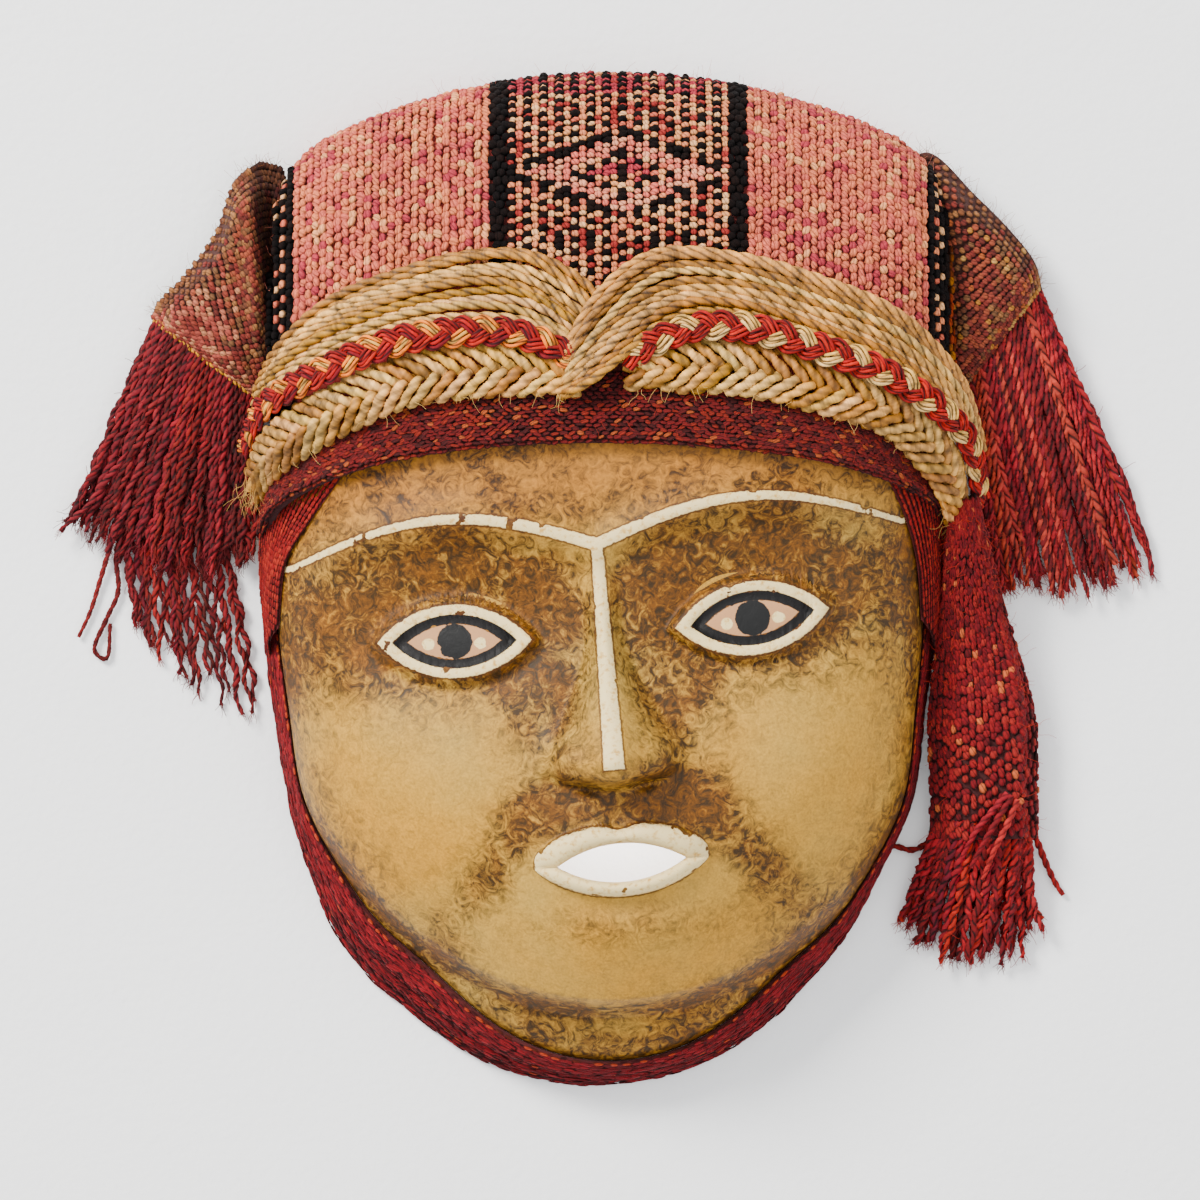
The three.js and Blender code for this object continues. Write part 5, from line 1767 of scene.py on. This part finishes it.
def fringeCords(name, wool, hair):
    style = fringes[name]
    rng = np.random.default_rng(style["seed"])
    t = np.linspace(0, 1, 40)
    lines, frays = [], []
    for count, drop in style["layers"]:
        w = np.clip((np.arange(count) + 0.5 + rng.uniform(-0.22, 0.22, count)) / count, 0, 1)
        roots = fringeRoot(name, w, drop)
        tips = smoothRun(style["tips"], np.clip(w + rng.normal(0, 0.012, count), 0, 1))
        for i in range(count):
            root = roots[i]
            tip = mix(root, tips[i], rng.uniform(0.88, 1.03))
            tip[2] = max(tips[i][2] + drop * 0.5, style["thickness"] * 0.5)
            points = mix(root, tip, t[:, None])
            points[:, 2] += style["rise"] * np.sin(np.pi * t**0.7)
            swing = style["wander"] * rng.normal(0, 0.7)
            bend, start = rng.uniform(2, 5), rng.uniform(0, 3)
            points[:, 0] += swing * t**2 * np.sin(bend * t + start)
            points[:, 1] += 0.4 * swing * t**2 * np.cos(bend * t + start)
            ripple = style["crimp"] * np.sin(t * rng.uniform(26, 40) + rng.uniform(0, 6))
            ripple = ripple * smoothstep(t, 0.1, 0.4)
            points[:, 0] += ripple
            points[:, 2] = np.maximum(points[:, 2] + 0.5 * ripple, style["thickness"] * 0.5)
            dye = vary(style["dyes"][rng.integers(len(style["dyes"]))], rng, 0.04)
            shape = 1 - 0.28 * smoothstep(t, 0.75, 1.0) + 0.1 * style["crimp"] * np.sin(40 * t + i)
            line = {"points": points, "dye": dye, "size": rng.uniform(0.88, 1.08) * shape}
            line["hand"] = -1 if rng.random() < 0.12 else 1
            line["phase"] = rng.uniform(0, 6)
            lines.append(line)
            heading = unit(points[-1] - points[-4])
            ways = unit(heading + rng.normal(0, 0.3, (9, 3)))
            spots = points[-1] + rng.normal(0, style["thickness"] * 0.18, (9, 3)) - heading * 0.8
            frays += looseHairs(rng, spots, ways, [dye] * 9, reach=(1.2, 3.6), curl=0.35)
            picked = rng.integers(2, 38, 5)
            ways = unit(rng.normal(0, 1, (5, 3)) * [1, 1, 0.6])
            frays += looseHairs(rng, points[picked] + ways * 1.0, ways, [dye] * 5, reach=(0.8, 2.6), curl=0.7)
    cord = {"Thickness": style["thickness"] * mm, "Pitch": style["pitch"], **fringeCord}
    cords = cordObject(name, lines, wool, **cord)
    return joinObjects(name, [cords, hairObject("fray", frays, hair, 0.00022)])


# Cords that have strayed from their fringe, placed one by one
strays = {
    "left_under_fringe": [
        [[-122, 18, 3], [-126, 8, 2.4], [-128.5, 0, 1.6], [-131, -8, 1.3], [-134, -14.5, 1.3]],
        [
            *[[-122, 16, 3], [-124.5, 6, 2.2], [-124, -3, 1.6], [-127, -10, 1.4]],
            *[[-130, -18, 1.3], [-127, -20, 1.3], [-126, -11, 1.4]],
        ],
    ],
    "scarf_fringe_cords": [
        [[83, -62, 8], [79.5, -66, 4], [75.5, -68, 2.2], [71.5, -67, 1.6], [68.5, -67.2, 1.4]],
        [[104, -60, 8], [107, -66, 4], [109.5, -72, 2], [112, -77, 1.5], [113.6, -79.3, 1.4]],
        [[100, -54, 16], [97, -59, 16.5], [93.5, -65, 16], [90, -72, 13]],
        [[101.5, -55, 15.5], [99, -61, 16], [96, -67, 15], [93, -75, 11]],
        [[99, -53.5, 16], [95, -58, 16.5], [91, -63, 15.5], [87.5, -70, 12]],
    ],
}


def strayCords(name, wool):
    style = fringes[name]
    rng = np.random.default_rng(style["seed"] + 1)
    t = np.linspace(0, 1, 30)
    lines = []
    for route in strays[name]:
        dye = vary(style["dyes"][rng.integers(len(style["dyes"]))], rng, 0.05)
        line = {"points": smoothRun(route, t), "size": 0.9 - 0.25 * t**3, "dye": dye}
        lines.append({**line, "phase": rng.uniform(0, 6)})
    return cordObject(name + "_strays", lines, wool, Thickness=style["thickness"] * mm, **strayCord)


# Hairs that stand off the cloths' silhouettes: on the crown, the flaps, the scarf and the brow cloth
def clothFuzz(hair):
    rng = np.random.default_rng(83)
    roots, ways, dyes = [], [], []

    def add(points, directions, spread, dye):
        roots.append(points)
        ways.append(unit(directions + rng.normal(0, spread, points.shape)))
        dyes.extend([dye] * len(points))

    angle = np.radians(rng.uniform(32, 148, 260))
    outward = np.stack([np.cos(angle), np.sin(angle), rng.uniform(-0.2, 0.6, 260)], -1)
    rim = np.stack([*outlinePoint(angle, 1, 2.6), rng.uniform(2, 16, 260)], -1)
    add(rim, outward, 0.5, (0.84, 0.52, 0.46))
    for side in (-1, 1):
        w = rng.uniform(0.05, 0.97, 170)
        rim, inner = (flapPoint(side, np.full(170, t), w) for t in (0.99, 0.7))
        add(rim, unit(rim - inner), 0.6, (0.56, 0.34, 0.20))
    t, w = rng.uniform(0.1, 1, 260), rng.uniform(-0.2, 0.7, 260) % 1.0
    add(*scarfPoint(t, w, 0.6), 0.6, (0.72, 0.24, 0.20))
    points, normals = browPoint(rng.uniform(0, 1, 120), rng.uniform(0, 0.6, 120), 0.4)
    add(points, normals * 0.5, 0.7, (0.62, 0.22, 0.18))
    lines = looseHairs(rng, np.concatenate(roots), np.concatenate(ways), dyes, reach=(1.0, 3.6), curl=0.7)
    return hairObject("cloth_fuzz", lines, hair)


clayColors = {
    "clay": ((0.73, 0.60, 0.36), (0.79, 0.60, 0.33)),
    "forehead": (0.68, 0.41, 0.17),
    # the stain's colours, dark to light, laid where the clay is stained or given painted shade
    "shadedStain": ((0.15, 0.09, 0.045), (0.53, 0.33, 0.15)),
    "cream": ((0.84, 0.68, 0.44), (1.0, 0.91, 0.71)),
    "creamEdge": (0.30, 0.17, 0.09),
    "eyeball": (0.78, 0.60, 0.46),
    "black": (0.05, 0.04, 0.04),
    "pupil": (0.09, 0.09, 0.09),
    "roughness": (0.4, 0.36),  # how far the flecks raise it, and its lowest
    "bump": (0.4, 0.0004),  # its strength, and its depth in metres
}


# The clay's finish: mottled by brown stain, painted shade and uneven polish, with cream and black paint,
# chipped at its edges
def clayMaterial():
    material, tree, shader = newMaterial("painted_clay", Specular_IOR_Level=0.2)
    place = objectPlace(tree)
    # how much brown stain and painted shade each point of the clay has
    shadedStain = shaderAttribute(tree, "stainAndShade")

    def noise(scale, detail, roughness=0.5, distortion=0.0):
        return noiseNode(tree, place, scale, detail, Roughness=roughness, Distortion=distortion)

    def ramp(value, low, high, colors):
        node = addNode(tree, "ShaderNodeValToRGB", {0: value})
        for element, position, color in zip(node.color_ramp.elements, (low, high), colors):
            element.position, element.color = position, rgba(color)
        return node.outputs[0]

    def do(operation, *values):
        return mathNode(tree, operation, *values)

    def length(first, second):
        joined = addNode(tree, "ShaderNodeCombineXYZ", {"X": first, "Y": second}).outputs[0]
        return addNode(tree, "ShaderNodeVectorMath", {0: joined}, operation="LENGTH").outputs["Value"]

    broad = noise(24.0, 3.0)
    flecks = noise(300.0, 5.0, 0.68, 1.6)
    fine = noise(1500.0, 3.0)
    ragged = noise(700.0, 4.0, 0.6)
    chips = noise(190.0, 3.0)
    patches = noise(80.0, 4.0, 0.6, 0.8)

    base = ramp(broad, 0.34, 0.66, clayColors["clay"])
    stain = ramp(flecks, 0.40, 0.68, clayColors["shadedStain"])
    strength = do("MULTIPLY_ADD", shadedStain, 2.4, 0.4)
    amount = do("MULTIPLY_ADD", do("SUBTRACT", 0.5, flecks), strength, shadedStain)
    amount = do("MULTIPLY_ADD", do("SUBTRACT", broad, 0.5), 0.9, amount)
    amount = do("MULTIPLY_ADD", do("SUBTRACT", patches, 0.5), do("MULTIPLY", shadedStain, 1.8), amount)
    amount = shadeBetween(tree, amount, 0.02, 1.0, 0.0, 0.95)

    def over(color, mask, paint):
        inputs = {"Factor": mask, 6: color, 7: paint}
        return addNode(tree, "ShaderNodeMix", inputs, data_type="RGBA").outputs[2]

    # Where a point lies on the face, in millimetres across and up
    x, y = (addNode(tree, "ShaderNodeSeparateXYZ", {0: place}).outputs[axis] for axis in "XY")
    c, s = math.cos(face["tilt"]) / mm, math.sin(face["tilt"]) / mm
    u = do("MULTIPLY_ADD", x, c, do("MULTIPLY_ADD", y, s, -head["faceX"] * c * mm))
    v = do("MULTIPLY_ADD", y, c, do("MULTIPLY_ADD", x, -s, head["faceX"] * s * mm))
    base = over(base, shadeBetween(tree, v, 4.0, 26.0, 0.0, 0.62), rgba(clayColors["forehead"]))
    color = over(base, amount, stain)
    speckle = do("MULTIPLY_ADD", do("SUBTRACT", fine, 0.5), 0.8, 1.0)
    speckle = do("MULTIPLY_ADD", do("SUBTRACT", flecks, 0.5), 0.45, speckle)
    color = shaded(tree, color, speckle)

    # The painted lines, as distances from their edges; both halves of the face are alike
    side = do("ABSOLUTE", u)
    share = do("MINIMUM", do("DIVIDE", side, face["browLength"]), 1.0)
    arch = do("SINE", do("MULTIPLY", share, math.pi))
    off = do("SUBTRACT", v, do("MULTIPLY_ADD", arch, face["browArch"], face["browY"] + 2.6))
    brow = do("SUBTRACT", do("ABSOLUTE", off), do("MULTIPLY_ADD", share, -0.9, 1.6))
    brow = do("MAXIMUM", brow, do("SUBTRACT", side, 79.0))
    span = face["browY"] - face["noseBaseY"]
    widening = {"Value": v, 1: face["browY"], 2: face["browY"] - span, 3: 1.4, 4: 2.6}
    down = addNode(tree, "ShaderNodeMapRange", widening)
    stripe = do("SUBTRACT", side, down.outputs[0])
    stripe = do("MAXIMUM", stripe, do("SUBTRACT", v, face["browY"] + 2.6))
    stripe = do("MAXIMUM", stripe, do("SUBTRACT", face["noseBaseY"] + 3.2, v))
    ct, st = math.cos(face["eyeTurn"]), math.sin(face["eyeTurn"])
    du, dv = do("SUBTRACT", side, face["eyeX"]), do("SUBTRACT", v, face["eyeY"])
    p = do("MULTIPLY_ADD", du, ct, do("MULTIPLY", dv, st))
    q = do("MULTIPLY_ADD", dv, ct, do("MULTIPLY", du, -st))

    def almond(width, height):
        radius, rise = arcOver(face["eyeWidth"] * width, face["eyeHeight"] * height)
        return do("SUBTRACT", length(p, do("ADD", do("ABSOLUTE", q), radius - rise)), radius)

    outer, inner, ball = almond(1, 1), almond(0.74, 0.64), almond(0.56, 0.42)
    ring = do("MAXIMUM", do("ADD", outer, 1.3), do("MULTIPLY", inner, -1.0))
    black = do("MAXIMUM", inner, do("MULTIPLY", ball, -1.0))
    glints = do("SUBTRACT", length(do("MULTIPLY_ADD", do("ABSOLUTE", p), 0.9, -5.8), do("ADD", q, 0.6)), 1.4)
    pupil = do("SUBTRACT", length(p, q), 4.4)
    cream = do("MINIMUM", do("MINIMUM", brow, stripe), ring)
    cream = do("MINIMUM", cream, shaderAttribute(tree, "lipEdge"))

    edgeNoise = do("MULTIPLY_ADD", do("SUBTRACT", ragged, 0.5), 1.1, shaderAttribute(tree, "unpainted"))
    worn = do("MAXIMUM", do("SUBTRACT", chips, 0.62), 0.0)

    def painted(edge, wear, grow=0.0):
        reach = do("MULTIPLY_ADD", worn, wear, do("ADD", do("SUBTRACT", edge, grow), edgeNoise))
        edges = {"Value": reach, "From Min": 0.1, "From Max": -0.1}
        return addNode(tree, "ShaderNodeMapRange", edges).outputs[0]

    agedCream = ramp(ragged, 0.30, 0.48, clayColors["cream"])
    creamMask = painted(cream, 15.0)
    rim = do("SUBTRACT", painted(cream, 8.0, 0.5), creamMask)
    color = over(color, do("MULTIPLY", rim, 0.75), rgba(clayColors["creamEdge"]))
    color = over(color, creamMask, agedCream)
    color = over(color, painted(ball, 0.0), rgba(clayColors["eyeball"]))
    color = over(color, painted(glints, 8.0), agedCream)
    color = over(color, painted(black, 5.0), rgba(clayColors["black"]))
    color = over(color, painted(pupil, 6.0), rgba(clayColors["pupil"]))
    setColor(tree, shader, color)
    tree.links.new(do("MULTIPLY_ADD", flecks, *clayColors["roughness"]), shader.inputs["Roughness"])
    setBump(tree, shader, do("MULTIPLY_ADD", creamMask, 0.5, flecks), *clayColors["bump"])
    return material


# Camera straight above, light from the upper left, and a pale floor
studio = {
    "distance": 2.4,  # of the camera, in metres, above the level it is set for
    "middle": (-0.002875, -0.005125),
    "level": 0.015,
    "widthSeen": 0.3,
    "sensor": 36,
    "floor": 1500,  # from its middle to its sides, in mm
    "world": 1.0,
    # each lamp's name, place and width in metres, power in watts, colour, and the place it is aimed at
    "lamps": [
        ("key", (-1.3, 1.3, 1.5), 0.8, 120, (1, 0.98, 0.95)),
        ("fill", (1.4, -0.6, 1.8), 2.2, 20, (0.96, 0.98, 1)),
        ("top", (0.1, 0.3, 2.8), 2.4, 34),
        ("hollow", (0.002, -0.045, 0.032), 0.05, 0.1, (1, 1, 1), (0.002, -0.05, 0)),  # behind the mouth
    ],
}


def softLight(name, location, size, power, color=(1, 1, 1), aim=(0, 0, 0.02)):
    lamp = bpy.data.lights.new(name, "AREA")
    lamp.size, lamp.energy, lamp.color = size, power, color
    made = bpy.data.objects.new(name, lamp)
    made.location = location
    made.rotation_mode = "QUATERNION"
    made.rotation_quaternion = (mathutils.Vector(aim) - mathutils.Vector(location)).to_track_quat("-Z", "Y")
    bpy.context.scene.collection.objects.link(made)


def setStudio():
    camera = bpy.data.objects.new("camera", bpy.data.cameras.new("camera"))
    camera.location = (*studio["middle"], studio["level"] + studio["distance"])
    camera.data.sensor_width = studio["sensor"]
    camera.data.lens = studio["sensor"] * studio["distance"] / studio["widthSeen"]
    bpy.context.scene.collection.objects.link(camera)
    bpy.context.scene.camera = camera

    far = studio["floor"]
    corners = [[-far, -far, 0], [far, -far, 0], [far, far, 0], [-far, far, 0]]
    floor = makeObject("floor", corners, [[0, 1, 2, 3]])
    material, tree, shader = newMaterial("pale_plaster", Roughness=0.9)
    shader.inputs["Base Color"].default_value = (0.97, 0.97, 0.965, 1)
    setBump(tree, shader, noiseNode(tree, objectPlace(tree), 420.0, 4.0), 0.35, 0.0006)
    floor.data.materials.append(material)

    for lamp in studio["lamps"]:
        softLight(*lamp)
    world = bpy.data.worlds.new("studio")
    world.use_nodes = True
    world.node_tree.nodes["Background"].inputs[0].default_value = (0.95, 0.97, 1, 1)
    world.node_tree.nodes["Background"].inputs[1].default_value = studio["world"]
    bpy.context.scene.world = world


def dress(piece, slot, *nodes):
    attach(piece, "root")
    if nodes:
        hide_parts(*nodes)


setStudio()
print("studio set")

mask = clayMask()
mask.data.materials.append(clayMaterial())
dress(mask, "clay", "mask")
print("mask made")

stitched = stitchMaterial("dyed_stitches")
crownStitched = stitchMaterial("crown_stitches", gloss=0.12)
pinkStitched = stitchMaterial("pink_stitches", contrast=0.7, sunk=0.5, gloss=0.2)
shadedGround = groundMaterial("shaded_cloth_ground")
jute = cordMaterial("jute", roughness=0.6, contrast=0.85, grooveShade=0.7)
wool = cordMaterial("spun_wool", roughness=0.9, contrast=0.6, grooveShade=0.85)
hair = cordMaterial("loose_fibre", roughness=0.8, contrast=0.2, grooveShade=0.0)

crownCloth = joinObjects("woven_crown_cloth", [crownSheet(), flapSheet(-1), flapSheet(1)])
thicken = crownCloth.modifiers.new("thickness", "SOLIDIFY")
thicken.thickness, thicken.offset = crown["sheetThickness"] * mm, 0
crownCloth.data.materials.append(shadedGround)
dress(crownCloth, "crown_weave", "head_cloth")
crownGrains = crownStitches(crownStitched, pinkStitched)
crownGrains += [flapStitches(-1, stitched), flapStitches(1, stitched), flapRoll(wool)]
for piece in crownGrains:
    dress(piece, "crown_weave")
print("crown cloth made")

redCloths = {
    "brow_cloth": browCloth(shadedGround, stitched),
    "jaw_cloth": jawCloth(shadedGround, stitched),
    "side_scarf": sideScarf(shadedGround, stitched),
}
for node, (sheet, grains) in redCloths.items():
    dress(sheet, "red_weave", node)
    dress(grains, "red_weave")
templeCloths = [templeFold(side, shadedGround, stitched) for side in (-1, 1)]
for pieces in templeCloths:
    for piece in pieces:
        dress(piece, "red_weave")
print("red cloths made")

for side, word in sideNames.items():
    dress(ropeBundle(side, jute, hair), "straw_rope", "rope_bundle_" + word)
    dress(flatPlait(side, jute, hair), "straw_rope", "plait_" + word)
    dress(twoToneBraid(side, wool), "two_tone_braid", "braid_" + word)
print("rope band made")

fringeCloths = {name: [fringeCords(name, wool, hair)] for name in fringes}
for name, pieces in fringeCloths.items():
    dress(pieces[0], "fringe_yarn", fringes[name]["node"])
for name in strays:
    fringeCloths[name].append(strayCords(name, wool))
    dress(fringeCloths[name][-1], "fringe_yarn")
dress(clothFuzz(hair), "fringe_yarn")
print("fringes made")

# Each red cloth's sheet and stitches, taken in turn
sheet, grains = redCloths["brow_cloth"]
sheet, grains = redCloths["jaw_cloth"]
sheet, grains = redCloths["side_scarf"]
